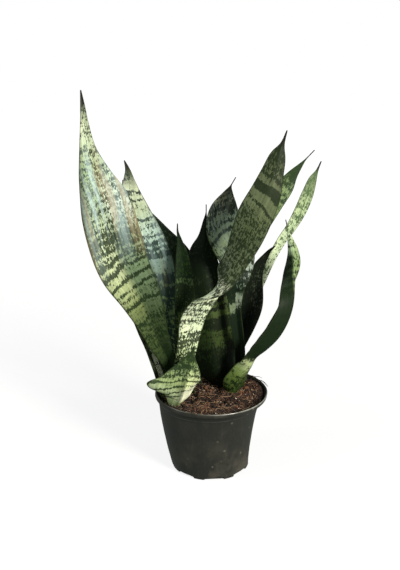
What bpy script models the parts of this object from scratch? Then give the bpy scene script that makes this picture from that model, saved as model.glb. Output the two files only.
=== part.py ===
"""Potted snake plant: thirteen leaves in two shoots, potting soil and a 12 cm nursery pot.

Frame: metres, +Z up, front of the plant towards -Y, origin on the pot's axis at the ground.
Each leaf follows a route of stations. A station is
(x, y, height, width, facing, fold): the keel's place and the leaf's width in millimetres,
then two angles in degrees. Facing is the compass direction that the channelled inner face
looks in, 0 towards +X and -90 towards the front. Fold is how far each half of the blade
stands up from flat.
"""

import bmesh
import bpy
import math
import numpy as np
from mathutils import Vector

MM = 0.001
GAP = 0.3                       # clearance between neighbours, mm

# nursery pot, mm
POT_HEIGHT = 85.0
POT_OUTSIDE = (                 # height and outer radius, from the ground to the rim band
    (0.0, 41.4), (1.0, 42.0), (4.0, 42.2), (67.0, 52.5), (71.0, 53.4), (73.0, 53.9),
    (75.0, 54.6), (77.0, 55.8), (78.6, 57.2), (80.2, 59.0), (81.4, 60.0), (84.3, 60.0),
    (85.0, 59.0),
)
POT_DRIFT = (                   # height and how far the soft wall has settled to the left
    (0.0, -0.8), (4.0, -1.6), (20.0, -2.9), (40.0, -3.6), (56.0, -3.8), (67.0, -3.3),
    (74.0, -2.2), (80.0, -0.9), (85.0, 0.0),
)
WALL = 1.3
NOTCHES = 8                     # drainage notches round the corner of the base
NOTCH_TURN = 5.0                # degrees that the first one sits off the front
NOTCH_WIDTH = 21.0
NOTCH_HEIGHT = 3.0
NOTCH_DEPTH = 6.0
POT_STEPS = 64

# soil, mm
SOIL_LEVEL = 77.0
SOIL_CROWN = 1.5                # how much the middle stands above the edge
SOIL_EDGE_DROP = 1.5            # the soil sinks a little at the wall
SOIL_FLOOR = 4.0
ROOT_DEPTH = 12.0               # how far a leaf goes on below the soil's surface
ROOT_DRAW = 0.85                # leaf feet draw in towards the pot's axis by this share

# leaf blades, mm
ACROSS = 4                      # quads from margin to margin
ROWS_PER_SPAN = 2               # quads between two stations
BASE_THICKNESS = 4.2
BLADE_THICKNESS = 2.4
TIP_THICKNESS = 1.0
MARGIN_SHARE = 0.4              # a margin's thickness as a share of the keel's
TIP_WIDTH = 1.0                 # width of the dry point that ends each leaf
KEEL_ROUNDING = 0.18            # 0 is a sharp V, larger is a rounder channel
SOCKET_ROWS = 8                 # rows of a leaf's foot that can touch the soil
SOCKET_GAP = 0.45               # clearance of a leaf's foot in its socket, mm

LEAVES = {
    "tall_left_leaf": [
        (-36, -1, 80, 18, -90, 35), (-41, -4, 112, 17, -88, 30), (-54, -10, 142, 24, -82, 25),
        (-64, -18, 174, 34, -76, 20), (-74, -26, 202, 44, -72, 16), (-88, -32, 232, 53, -70, 14),
        (-97, -36, 265, 55, -70, 14), (-104, -38, 298, 50, -72, 16), (-112, -39, 324, 33, -74, 20),
        (-117, -39, 347, 18, -76, 24), (-119, -39, 373, 8, -80, 22), (-120, -39, 389, 4, -80, 15),
        (-121, -39, 401, 1, -80, 5),
    ],
    "rear_left_leaf": [
        (-43, 14, 81, 16, -90, 35), (-47, 13, 114, 22, -86, 28), (-51, 13, 154, 34, -82, 20),
        (-57, 15, 193, 45, -78, 16), (-65, 16, 228, 48, -76, 14), (-76, 17, 261, 40, -76, 14),
        (-82, 16, 288, 27, -78, 18), (-84, 15, 307, 14, -80, 20), (-85, 14, 320, 5, -80, 10),
        (-88, 14, 329, 1, -80, 5),
    ],
    "back_left_leaf": [
        (-18, 39, 80, 20, -90, 35), (-21, 43, 122, 30, -86, 28), (-30, 45, 170, 41, -80, 20),
        (-42, 47, 212, 49, -76, 16), (-61, 47, 240, 38, -74, 14), (-78, 47, 266, 25, -74, 14),
        (-89, 46, 285, 11, -76, 12), (-93, 45, 304, 1, -80, 5),
    ],
    "narrow_inner_leaf": [
        (-25, 14, 80, 17, -90, 35), (-28, 10, 119, 22, -90, 30), (-28, 6, 160, 23, -90, 22),
        (-28, 4, 191, 22, -90, 18), (-29, 3, 215, 18, -90, 16), (-31, 3, 237, 12, -90, 16),
        (-33, 3, 250, 5, -90, 12), (-35, 3, 259, 2, -90, 8), (-35, 3, 267, 1, -90, 5),
    ],
    "upright_centre_leaf": [
        (17, 20, 78, 23, 90, 35), (13, 19, 87, 39, 90, 34), (6, 18, 102, 53, 90, 32),
        (1, 17, 131, 52, 90, 26), (-2, 17, 162, 48, 90, 20), (-5, 17, 190, 43, 90, 16),
        (-9, 18, 217, 35, 90, 14), (-10, 19, 234, 27, 90, 14), (-8, 20, 248, 14, 90, 14),
        (-7, 20, 265, 5, 90, 10), (-6, 20, 275, 1, 90, 8), (-6, 20, 283, 1, 90, 5),
    ],
    "spiked_centre_leaf": [
        (31, 19, 80, 12, -95, 34), (31, 19, 98, 12, -95, 34), (31, 14, 126, 13, -100, 32),
        (28, 9, 152, 14, -105, 28), (25, 6, 179, 15, -108, 26), (25, 3, 202, 24, -108, 24),
        (27, 1, 222, 36, -108, 22), (25, -1, 239, 43, -105, 20), (18, -2, 254, 43, -102, 18),
        (13, -3, 268, 40, -98, 16), (12, -4, 280, 33, -96, 15), (14, -4, 292, 21, -94, 16),
        (16, -4, 300, 10, -90, 18), (18, -4, 306, 2, -90, 10), (23, -4, 315, 1, -90, 5),
    ],
    "twisted_front_leaf": [
        (-37, -8, 80, 16, -90, 32), (-34, -12, 104, 20, -90, 28), (-28, -14, 129, 21, -90, 22),
        (-24, -17, 151, 23, -90, 16), (-20, -21, 173, 25, -88, 12), (-14, -28, 188, 23, -80, 12),
        (-4, -36, 203, 24, -50, 14), (4, -43, 214, 26, -8, 16), (9, -47, 224, 28, 35, 14),
        (20, -50, 241, 26, 65, 12), (30, -52, 263, 32, 75, 12), (39, -53, 286, 35, 82, 12),
        (48, -53, 306, 31, 86, 12), (55, -52, 328, 22, 88, 14), (60, -51, 345, 14, 88, 18),
        (63, -50, 353, 5, 90, 20), (67, -50, 366, 1, 90, 5),
    ],
    "rear_right_leaf": [
        (9, 44, 82, 16, -100, 35), (26, 52, 125, 17, -100, 28), (33, 51, 185, 17, -105, 20),
        (38, 43, 223, 13, -110, 16), (49, 36, 247, 14, -112, 16), (59, 31, 269, 17, -112, 16),
        (68, 30, 287, 20, -112, 16), (76, 30, 300, 19, -112, 16), (83, 30, 312, 11, -112, 14),
        (90, 30, 321, 5, -112, 12), (94, 30, 326, 2, -112, 6), (104, 30, 337, 1, -112, 5),
    ],
    "arching_right_leaf": [
        (34, 37, 80, 12, -90, 30), (31, 44, 125, 12, -90, 26), (41, 44, 163, 12, -75, 20),
        (55, 40, 199, 10, -72, 16), (64, 33, 224, 10, -75, 14), (73, 27, 244, 11, -78, 14),
        (82, 21, 260, 12, -80, 14), (91, 17, 280, 14, -80, 14), (97, 16, 297, 13, -80, 14),
        (101, 15, 310, 9, -80, 14), (105, 15, 318, 3, -80, 10), (109, 15, 328, 1, -80, 5),
    ],
    "curled_right_leaf": [
        (24, 4, 77, 24, 100, 38), (26, 1, 87, 32, 105, 38), (31, -2, 101, 27, 112, 36),
        (40, -6, 114, 26, 135, 40), (46, -10, 127, 26, 160, 52), (56, -12, 136, 31, 168, 58),
        (68, -13, 149, 36, 170, 62), (78, -13, 168, 35, 170, 62), (83, -12, 189, 30, 160, 62),
        (83, -11, 205, 28, 125, 58), (82, -9, 216, 27, 98, 54), (82, -8, 227, 24, 85, 52),
        (81, -7, 240, 15, 80, 44), (78, -6, 253, 6, 80, 25), (75, -6, 265, 1, 80, 5),
        (73, -6, 273, 1, 80, 5),
    ],
    "dark_right_leaf": [
        (20, 36, 82, 14, -90, 32), (28, 37, 118, 16, -90, 26), (35, 33, 149, 27, -90, 20),
        (41, 30, 172, 29, -90, 16), (43, 28, 190, 25, -90, 14), (46, 26, 206, 17, -90, 14),
        (51, 24, 219, 11, -90, 14), (56, 23, 227, 7, -90, 12), (60, 22, 233, 4, -90, 8),
        (66, 21, 239, 1, -90, 5),
    ],
    "short_front_leaf": [
        (-37, -23, 79, 20, 110, 35), (-34, -25, 86, 46, 114, 34), (-32, -27, 94, 69, 118, 30),
        (-29, -29, 104, 53, 112, 28), (-26, -31, 117, 36, 105, 26), (-23, -33, 130, 18, 100, 22),
        (-20, -34, 141, 5, 95, 15), (-18, -35, 150, 1, 90, 5),
    ],
    "low_left_leaf": [
        (-51, 1, 79, 12, -50, 30), (-58, 1, 104, 13, -40, 25), (-67, 1, 131, 12, -30, 18),
        (-75, 1, 151, 14, -20, 14), (-85, 0, 179, 14, -20, 12), (-95, -1, 209, 12, -20, 12),
        (-102, -2, 234, 4, -20, 8), (-107, -2, 251, 1, -20, 5),
    ],
}


def clear_scene():
    for obj in list(bpy.data.objects):
        bpy.data.objects.remove(obj, do_unlink=True)


def new_collection(name):
    collection = bpy.data.collections.new(name)
    bpy.context.scene.collection.children.link(collection)
    return collection


def principled(name, colour, roughness):
    material = bpy.data.materials.new(name)
    material.use_nodes = True
    shader = material.node_tree.nodes["Principled BSDF"]
    shader.inputs["Base Color"].default_value = (*colour, 1.0)
    shader.inputs["Roughness"].default_value = roughness
    shader.inputs["Metallic"].default_value = 0.0
    material.diffuse_color = (*colour, 1.0)
    return material


def link_mesh(name, bm, collection, material=None):
    mesh = bpy.data.meshes.new(name)
    bm.to_mesh(mesh)
    bm.free()
    obj = bpy.data.objects.new(name, mesh)
    collection.objects.link(obj)
    if material:
        mesh.materials.append(material)
    return obj


def turned(name, profile, collection, material):
    """Closed solid of revolution from (radius, height) points in mm, moved by the drift."""
    bm = bmesh.new()
    points = [bm.verts.new((r * MM, 0.0, z * MM)) for r, z in profile]
    edges = [bm.edges.new(pair) for pair in zip(points, points[1:])]
    bmesh.ops.spin(bm, geom=points + edges, cent=(0.0, 0.0, 0.0), axis=(0.0, 0.0, 1.0),
                   angle=2.0 * math.pi, steps=POT_STEPS, use_duplicate=False)
    bmesh.ops.remove_doubles(bm, verts=bm.verts, dist=0.00001)
    bmesh.ops.recalc_face_normals(bm, faces=bm.faces)
    heights, moves = zip(*POT_DRIFT)
    for vert in bm.verts:
        vert.co.x += float(np.interp(vert.co.z / MM, heights, moves)) * MM
    obj = link_mesh(name, bm, collection, material)
    obj.data.shade_smooth()
    return obj


def hide_cutter(obj):
    obj.hide_render = True
    obj.display_type = "WIRE"


def subtract(obj, cutter):
    cut = obj.modifiers.new("cut_" + cutter.name, "BOOLEAN")
    cut.operation = "DIFFERENCE"
    cut.solver = "EXACT"
    cut.object = cutter


def outer_radius(height):
    """Outer radius of the pot at a height, in mm."""
    heights, radii = zip(*POT_OUTSIDE)
    return float(np.interp(height, heights, radii))


# ---------------------------------------------------------------- pot and soil

def build_pot(parts, cutters, material):
    outside = [(radius, height) for height, radius in reversed(POT_OUTSIDE)] + [(0.0, 0.0)]
    inside = [(0.0, WALL), (outer_radius(0.0) - WALL - 1.5, WALL)]
    inside += [(outer_radius(height) - WALL, height)
               for height in (4.0, 20.0, 40.0, 56.0, 67.0, 71.0, 73.0, 75.0, 77.0, 78.6)]
    inside += [(outer_radius(80.2) - WALL - 0.5, 80.8), (58.4, 84.4), (59.0, POT_HEIGHT)]
    pot = turned("nursery_pot", outside + inside, parts, material)

    for index in range(NOTCHES):
        angle = math.radians(-90.0 + NOTCH_TURN + index * 360.0 / NOTCHES)
        bm = bmesh.new()
        bmesh.ops.create_cube(bm, size=1.0)
        size = Vector((NOTCH_DEPTH, NOTCH_WIDTH, 2.0 * NOTCH_HEIGHT)) * MM
        bmesh.ops.scale(bm, vec=size, verts=bm.verts)
        cutter = link_mesh(f"notch_cutter_{index + 1}", bm, cutters)
        reach = (outer_radius(0.0) - 0.2) * MM
        cutter.location = (reach * math.cos(angle) + POT_DRIFT[0][1] * MM,
                           reach * math.sin(angle), 0.0)
        cutter.rotation_euler.z = angle
        hide_cutter(cutter)
        subtract(pot, cutter)
    return pot


def build_soil(parts, material):
    clear = WALL + 3.0 * GAP
    edge_height = SOIL_LEVEL - SOIL_EDGE_DROP
    edge = outer_radius(edge_height) - clear
    profile = [
        (0.0, SOIL_LEVEL + SOIL_CROWN),
        (edge * 0.5, SOIL_LEVEL + SOIL_CROWN * 0.7),
        (edge * 0.85, SOIL_LEVEL),
        (edge, edge_height),
    ]
    profile += [(outer_radius(height) - clear, height)
                for height in (73.0, 71.0, 67.0, 56.0, 40.0, 20.0)]
    profile += [(outer_radius(SOIL_FLOOR) - clear - 1.0, SOIL_FLOOR), (0.0, SOIL_FLOOR)]
    return turned("potting_soil", profile, parts, material)


# ---------------------------------------------------------------- leaves

def rooted(stations):
    """Carry a route on downwards, a little narrower, to the root depth below the soil."""
    x, y, z, width, facing, fold = stations[0]
    foot = (x * ROOT_DRAW, y * ROOT_DRAW, SOIL_LEVEL - ROOT_DEPTH, width * 0.8, facing, fold)
    return [foot] + list(stations)


def smooth_route(stations):
    """Rows on a smooth curve through the stations, with each row's place from 0 to 1."""
    table = np.array(stations, dtype=float)
    steps = np.linalg.norm(np.diff(table[:, :3], axis=0), axis=1)
    along = np.concatenate(([0.0], np.cumsum(steps)))
    slopes = np.gradient(table, along, axis=0)
    rows, places = [], []
    for i in range(len(table) - 1):
        span = along[i + 1] - along[i]
        last = i == len(table) - 2
        for k in range(ROWS_PER_SPAN + (1 if last else 0)):
            t = k / ROWS_PER_SPAN
            h00, h10 = 2 * t**3 - 3 * t**2 + 1, t**3 - 2 * t**2 + t
            h01, h11 = -2 * t**3 + 3 * t**2, t**3 - t**2
            rows.append(h00 * table[i] + h10 * span * slopes[i]
                        + h01 * table[i + 1] + h11 * span * slopes[i + 1])
            places.append((along[i] + t * span) / along[-1])
    return np.array(rows), np.array(places)


def thickness_at(place, side):
    """Keel thickness falls from base to blade to tip, and towards both margins."""
    keel = np.interp(place, (0.0, 0.35, 0.9, 1.0),
                     (BASE_THICKNESS, BLADE_THICKNESS, 0.6 * BLADE_THICKNESS, TIP_THICKNESS))
    share = 1.0 - (1.0 - MARGIN_SHARE) * side * side
    return keel * (1.0 - place**8) * share + TIP_THICKNESS * place**8


def channel_lift(side):
    """Height of the blade's cross-section above its keel, 0 at the keel and 1 at a margin."""
    k = KEEL_ROUNDING
    return (math.sqrt(side * side + k * k) - k) / (math.sqrt(1.0 + k * k) - k)


def leaf_surface(stations, clearance=0.0, last_row=None):
    """Open middle surface of a leaf, a grid bent to its route, with thickness weights.

    Clearance makes it wider and deeper all round, for a socket.
    """
    rows, places = smooth_route(rooted(stations))
    tangents = np.gradient(rows[:, :3], axis=0)
    rows = rows[:last_row]
    bm = bmesh.new()
    bmesh.ops.create_grid(bm, x_segments=ACROSS, y_segments=len(rows) - 1, size=1.0)
    weights = []
    for vert in bm.verts:
        side = vert.co.x
        index = round((vert.co.y + 1.0) / 2.0 * (len(rows) - 1))
        x, y, z, width, facing, fold = rows[index]
        width = max(width, TIP_WIDTH) + 2.0 * clearance
        facing, fold = math.radians(facing), math.radians(fold)
        tangent = Vector(tangents[index]).normalized()
        across = tangent.cross(Vector((math.cos(facing), math.sin(facing), 0.0))).normalized()
        inward = across.cross(tangent)
        half = width / 2.0
        point = Vector((x, y, z))
        point += across * (half * math.cos(fold) * side)
        point += inward * (half * math.sin(fold) * channel_lift(side))
        if index == 0:
            point -= tangent * (2.0 * clearance)
        vert.co = point * MM
        weights.append(thickness_at(places[index], side))
    return bm, weights


def thicken(obj, weights, grow=0.0):
    """Give the surface its thickness, which the vertex group scales at each point."""
    full = BASE_THICKNESS + grow
    group = obj.vertex_groups.new(name="thickness")
    for index, value in enumerate(weights):
        group.add([index], (value + grow) / full, "REPLACE")
    shell = obj.modifiers.new("blade", "SOLIDIFY")
    shell.thickness = full * MM
    shell.offset = 0.0
    shell.vertex_group = group.name
    shell.thickness_vertex_group = 0.0


def build_leaf(name, stations, parts, material):
    bm, weights = leaf_surface(stations)
    leaf = link_mesh(name, bm, parts, material)
    leaf.data.shade_smooth()
    thicken(leaf, weights)
    return leaf


def build_socket(name, stations, cutters):
    """Slightly fatter and deeper foot of a leaf, which makes its socket in the soil."""
    bm, weights = leaf_surface(stations, SOCKET_GAP, SOCKET_ROWS)
    socket = link_mesh(name + "_socket", bm, cutters)
    thicken(socket, weights, grow=2.0 * SOCKET_GAP)
    hide_cutter(socket)
    return socket


def main():
    clear_scene()
    parts = new_collection("potted_snake_plant")
    cutters = new_collection("cutters")
    plastic = principled("black_plastic", (0.018, 0.019, 0.020), 0.45)
    peat = principled("potting_mix", (0.07, 0.032, 0.018), 0.95)
    build_pot(parts, cutters, plastic)
    soil = build_soil(parts, peat)
    for name, stations in LEAVES.items():
        green = principled(name + "_green", (0.12, 0.20, 0.08), 0.45)
        build_leaf(name, stations, parts, green)
        subtract(soil, build_socket(name, stations, cutters))


main()
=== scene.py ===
"""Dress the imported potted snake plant: leaves, soil, litter, nursery pot and studio.

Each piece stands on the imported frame, in metres, +Z up, front towards -Y.
A leaf follows a route of stations (x, y, height, width, facing, fold) in millimetres and
degrees. Facing is the compass direction that the channelled inner face looks in, 0 towards
+X and -90 towards the front. Fold is how far each half of the blade stands up from flat.
"""

import math
import random

import bpy
import numpy as np
from bpy.props import FloatProperty, FloatVectorProperty, IntProperty, PointerProperty
from mathutils import Matrix, Vector, noise


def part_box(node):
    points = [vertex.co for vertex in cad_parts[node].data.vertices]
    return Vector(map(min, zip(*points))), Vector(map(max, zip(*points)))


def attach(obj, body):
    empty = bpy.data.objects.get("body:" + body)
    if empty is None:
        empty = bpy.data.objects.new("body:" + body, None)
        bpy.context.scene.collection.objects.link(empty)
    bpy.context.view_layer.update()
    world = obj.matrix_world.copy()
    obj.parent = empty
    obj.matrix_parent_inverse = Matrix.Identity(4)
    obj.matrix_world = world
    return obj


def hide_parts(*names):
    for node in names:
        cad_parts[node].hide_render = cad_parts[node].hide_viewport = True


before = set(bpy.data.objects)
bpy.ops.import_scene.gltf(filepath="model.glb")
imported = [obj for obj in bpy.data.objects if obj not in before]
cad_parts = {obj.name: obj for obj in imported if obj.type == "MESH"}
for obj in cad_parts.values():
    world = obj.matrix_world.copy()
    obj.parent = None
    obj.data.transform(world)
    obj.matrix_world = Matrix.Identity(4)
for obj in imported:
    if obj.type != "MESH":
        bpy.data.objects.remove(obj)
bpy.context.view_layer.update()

bl_info = {
    "name": "Potted snake plant",
    "version": (1, 0, 0),
    "blender": (4, 5, 0),
    "location": "3D View > Sidebar > Snake plant",
    "description": "Leaves, soil, pot and studio for a snake plant in a nursery pot",
    "category": "Add Mesh",
}

MM = 0.001
ROOT = "root"
POT_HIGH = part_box("nursery_pot")[1]

# nursery pot, mm
POT_OUTSIDE = (                 # height and outer radius
    (0.0, 41.4), (1.0, 42.0), (4.0, 42.2), (67.0, 52.5), (71.0, 53.4), (73.0, 53.9),
    (75.0, 54.6), (77.0, 55.8), (78.6, 57.2), (80.2, 59.0), (81.4, 60.0), (84.3, 60.0),
    (85.0, 59.0),
)
POT_DRIFT = (                   # height and how far the soft wall has settled to the left
    (0.0, -0.8), (4.0, -1.6), (20.0, -2.9), (40.0, -3.6), (56.0, -3.8), (67.0, -3.3),
    (74.0, -2.2), (80.0, -0.9), (85.0, 0.0),
)
NOTCHES = 8
NOTCH_TURN = 5.0
NOTCH_SIZE = (6.0, 21.0, 6.0)
NOTCH_ROUNDING = 1.2

# soil, mm
SOIL_LEVEL = 77.0
SOIL_FOOT = 4.0
SOIL_CROWN = 1.5
SOIL_EDGE_DROP = 1.5
SOIL_REACH = 55.2               # loose soil reaches up the flare of the collar
SOIL_TOP = 76.5                 # all that stands above this is loose surface
SOIL_CLEAR = 2.2                # from the pot's outside to the soil
SOIL_RINGS = 26
SOIL_STEPS = 144
MOUND_PLACE = (42.0, 15.0)      # soil heaped up at the back right
MOUND_HEIGHT = 6.5
MOUND_SPREAD = 17.0
HEAP_START = 0.82               # share of the reach where soil starts to climb the wall
HEAP_HEIGHT = 3.6
CRUMB_REACH = 54.4
LITTER_REACH = 50.0
FIBRE_LIMIT = 55.5              # a fibre that would pass the wall is left out
CLUMP_PLACE = (-0.010, -0.031)  # dry clump at the front, m
ROOT_DEPTH = 12.0
ROOT_DRAW = 0.85

# leaf blades, mm
BASE_THICKNESS = 4.2
BLADE_THICKNESS = 2.4
TIP_THICKNESS = 1.0
MARGIN_SHARE = 0.4
TIP_WIDTH = 1.0
KEEL_ROUNDING = 0.18
FULL_WIDTH = 16.0               # a blade this wide takes the whole ripple and flutter
WING_SPAN = 0.09                # half of a pointed corner's share of the leaf's length
WAVE_REACH = 3.0                # mm for each unit of wave and jag

# leaf skin: patches per metre, across and along the blade
BROAD_WAVES = (70.0, 30.0)
TEETH = (620.0, 90.0)
FLECKS = (620.0, 190.0)
FINE_FLECKS = (1700.0, 430.0)
BANDS = (70.0, 330.0)
CLOUDS = (45.0, 24.0)
VEINS = (620.0, 9.0)
MARGIN_WOBBLE = (300.0, 60.0)
PORES = (2600.0, 1500.0)
COLUMNS = (                     # reflections in streaks: patches, shift, low, high, share, tint
    ((150.0, 7.0), 9.0, 0.43, 0.62, 0.62, (198, 222, 222)),
    ((95.0, 7.0), 12.0, 0.55, 0.64, 0.50, (196, 178, 142)),
)

# stage, m
FLOOR_SIZE = 8.0
FLOOR_LEVEL = -0.0002
FLOOR_FAR_GLOW = 0.99
AIM = (-0.01, 0.0, 0.17)
KEY_LAMP = ((0.9, -1.1, 0.75), 0.4, (1.0, 0.96, 0.88))         # place, width and colour
SIDE_LAMP = ((-1.1, -0.35, 0.9), 0.8, (0.90, 0.97, 0.96))
SKY_COLOUR = (0.92, 1.0, 0.90, 1.0)
CAMERA_PLACE = (-0.0123, -0.8, 0.452)
CAMERA_SENSOR = 36.0            # mm
CAMERA_LENS = 51.47             # mm

LEAVES = {
    "tall_left_leaf": [
        (-36, -1, 80, 18, -90, 35), (-41, -4, 112, 17, -88, 30), (-54, -10, 142, 24, -82, 25),
        (-64, -18, 174, 34, -76, 20), (-74, -26, 202, 44, -72, 16), (-88, -32, 232, 53, -70, 14),
        (-97, -36, 265, 55, -70, 14), (-104, -38, 298, 50, -72, 16), (-112, -39, 324, 33, -74, 20),
        (-117, -39, 347, 18, -76, 24), (-119, -39, 373, 8, -80, 22), (-120, -39, 389, 4, -80, 15),
        (-121, -39, 401, 1, -80, 5),
    ],
    "rear_left_leaf": [
        (-43, 14, 81, 16, -90, 35), (-47, 13, 114, 22, -86, 28), (-51, 13, 154, 34, -82, 20),
        (-57, 15, 193, 45, -78, 16), (-65, 16, 228, 48, -76, 14), (-76, 17, 261, 40, -76, 14),
        (-82, 16, 288, 27, -78, 18), (-84, 15, 307, 14, -80, 20), (-85, 14, 320, 5, -80, 10),
        (-88, 14, 329, 1, -80, 5),
    ],
    "back_left_leaf": [
        (-18, 39, 80, 20, -90, 35), (-21, 43, 122, 30, -86, 28), (-30, 45, 170, 41, -80, 20),
        (-42, 47, 212, 49, -76, 16), (-61, 47, 240, 38, -74, 14), (-78, 47, 266, 25, -74, 14),
        (-89, 46, 285, 11, -76, 12), (-93, 45, 304, 1, -80, 5),
    ],
    "narrow_inner_leaf": [
        (-25, 14, 80, 17, -90, 35), (-28, 10, 119, 22, -90, 30), (-28, 6, 160, 23, -90, 22),
        (-28, 4, 191, 22, -90, 18), (-29, 3, 215, 18, -90, 16), (-31, 3, 237, 12, -90, 16),
        (-33, 3, 250, 5, -90, 12), (-35, 3, 259, 2, -90, 8), (-35, 3, 267, 1, -90, 5),
    ],
    "upright_centre_leaf": [
        (17, 20, 78, 23, 90, 35), (13, 19, 87, 39, 90, 34), (6, 18, 102, 53, 90, 32),
        (1, 17, 131, 52, 90, 26), (-2, 17, 162, 48, 90, 20), (-5, 17, 190, 43, 90, 16),
        (-9, 18, 217, 35, 90, 14), (-10, 19, 234, 27, 90, 14), (-8, 20, 248, 14, 90, 14),
        (-7, 20, 265, 5, 90, 10), (-6, 20, 275, 1, 90, 8), (-6, 20, 283, 1, 90, 5),
    ],
    "spiked_centre_leaf": [
        (31, 19, 80, 12, -95, 34), (31, 19, 98, 12, -95, 34), (31, 14, 126, 13, -100, 32),
        (28, 9, 152, 14, -105, 28), (25, 6, 179, 15, -108, 26), (25, 3, 202, 24, -108, 24),
        (27, 1, 222, 36, -108, 22), (25, -1, 239, 43, -105, 20), (18, -2, 254, 43, -102, 18),
        (13, -3, 268, 40, -98, 16), (12, -4, 280, 33, -96, 15), (14, -4, 292, 21, -94, 16),
        (16, -4, 300, 10, -90, 18), (18, -4, 306, 2, -90, 10), (23, -4, 315, 1, -90, 5),
    ],
    "twisted_front_leaf": [
        (-37, -8, 80, 16, -90, 32), (-34, -12, 104, 20, -90, 28), (-28, -14, 129, 21, -90, 22),
        (-24, -17, 151, 23, -90, 16), (-20, -21, 173, 25, -88, 12), (-14, -28, 188, 23, -80, 12),
        (-4, -36, 203, 24, -50, 14), (4, -43, 214, 26, -8, 16), (9, -47, 224, 28, 35, 14),
        (20, -50, 241, 26, 65, 12), (30, -52, 263, 32, 75, 12), (39, -53, 286, 35, 82, 12),
        (48, -53, 306, 31, 86, 12), (55, -52, 328, 22, 88, 14), (60, -51, 345, 14, 88, 18),
        (63, -50, 353, 5, 90, 20), (67, -50, 366, 1, 90, 5),
    ],
    "rear_right_leaf": [
        (9, 44, 82, 16, -100, 35), (26, 52, 125, 17, -100, 28), (33, 51, 185, 17, -105, 20),
        (38, 43, 223, 13, -110, 16), (49, 36, 247, 14, -112, 16), (59, 31, 269, 17, -112, 16),
        (68, 30, 287, 20, -112, 16), (76, 30, 300, 19, -112, 16), (83, 30, 312, 11, -112, 14),
        (90, 30, 321, 5, -112, 12), (94, 30, 326, 2, -112, 6), (104, 30, 337, 1, -112, 5),
    ],
    "arching_right_leaf": [
        (34, 37, 80, 12, -90, 30), (31, 44, 125, 12, -90, 26), (41, 44, 163, 12, -75, 20),
        (55, 40, 199, 10, -72, 16), (64, 33, 224, 10, -75, 14), (73, 27, 244, 11, -78, 14),
        (82, 21, 260, 12, -80, 14), (91, 17, 280, 14, -80, 14), (97, 16, 297, 13, -80, 14),
        (101, 15, 310, 9, -80, 14), (105, 15, 318, 3, -80, 10), (109, 15, 328, 1, -80, 5),
    ],
    "curled_right_leaf": [
        (24, 4, 77, 24, 100, 38), (26, 1, 87, 32, 105, 38), (31, -2, 101, 27, 112, 36),
        (40, -6, 114, 26, 135, 40), (46, -10, 127, 26, 160, 52), (56, -12, 136, 31, 168, 58),
        (68, -13, 149, 36, 170, 62), (78, -13, 168, 35, 170, 62), (83, -12, 189, 30, 160, 62),
        (83, -11, 205, 28, 125, 58), (82, -9, 216, 27, 98, 54), (82, -8, 227, 24, 85, 52),
        (81, -7, 240, 15, 80, 44), (78, -6, 253, 6, 80, 25), (75, -6, 265, 1, 80, 5),
        (73, -6, 273, 1, 80, 5),
    ],
    "dark_right_leaf": [
        (20, 36, 82, 14, -90, 32), (28, 37, 118, 16, -90, 26), (35, 33, 149, 27, -90, 20),
        (41, 30, 172, 29, -90, 16), (43, 28, 190, 25, -90, 14), (46, 26, 206, 17, -90, 14),
        (51, 24, 219, 11, -90, 14), (56, 23, 227, 7, -90, 12), (60, 22, 233, 4, -90, 8),
        (66, 21, 239, 1, -90, 5),
    ],
    "short_front_leaf": [
        (-37, -23, 79, 20, 110, 35), (-34, -25, 86, 46, 114, 34), (-32, -27, 94, 69, 118, 30),
        (-29, -29, 104, 53, 112, 28), (-26, -31, 117, 36, 105, 26), (-23, -33, 130, 18, 100, 22),
        (-20, -34, 141, 5, 95, 15), (-18, -35, 150, 1, 90, 5),
    ],
    "low_left_leaf": [
        (-51, 1, 79, 12, -50, 30), (-58, 1, 104, 13, -40, 25), (-67, 1, 131, 12, -30, 18),
        (-75, 1, 151, 14, -20, 14), (-85, 0, 179, 14, -20, 12), (-95, -1, 209, 12, -20, 12),
        (-102, -2, 234, 4, -20, 8), (-107, -2, 251, 1, -20, 5),
    ],
}

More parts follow.
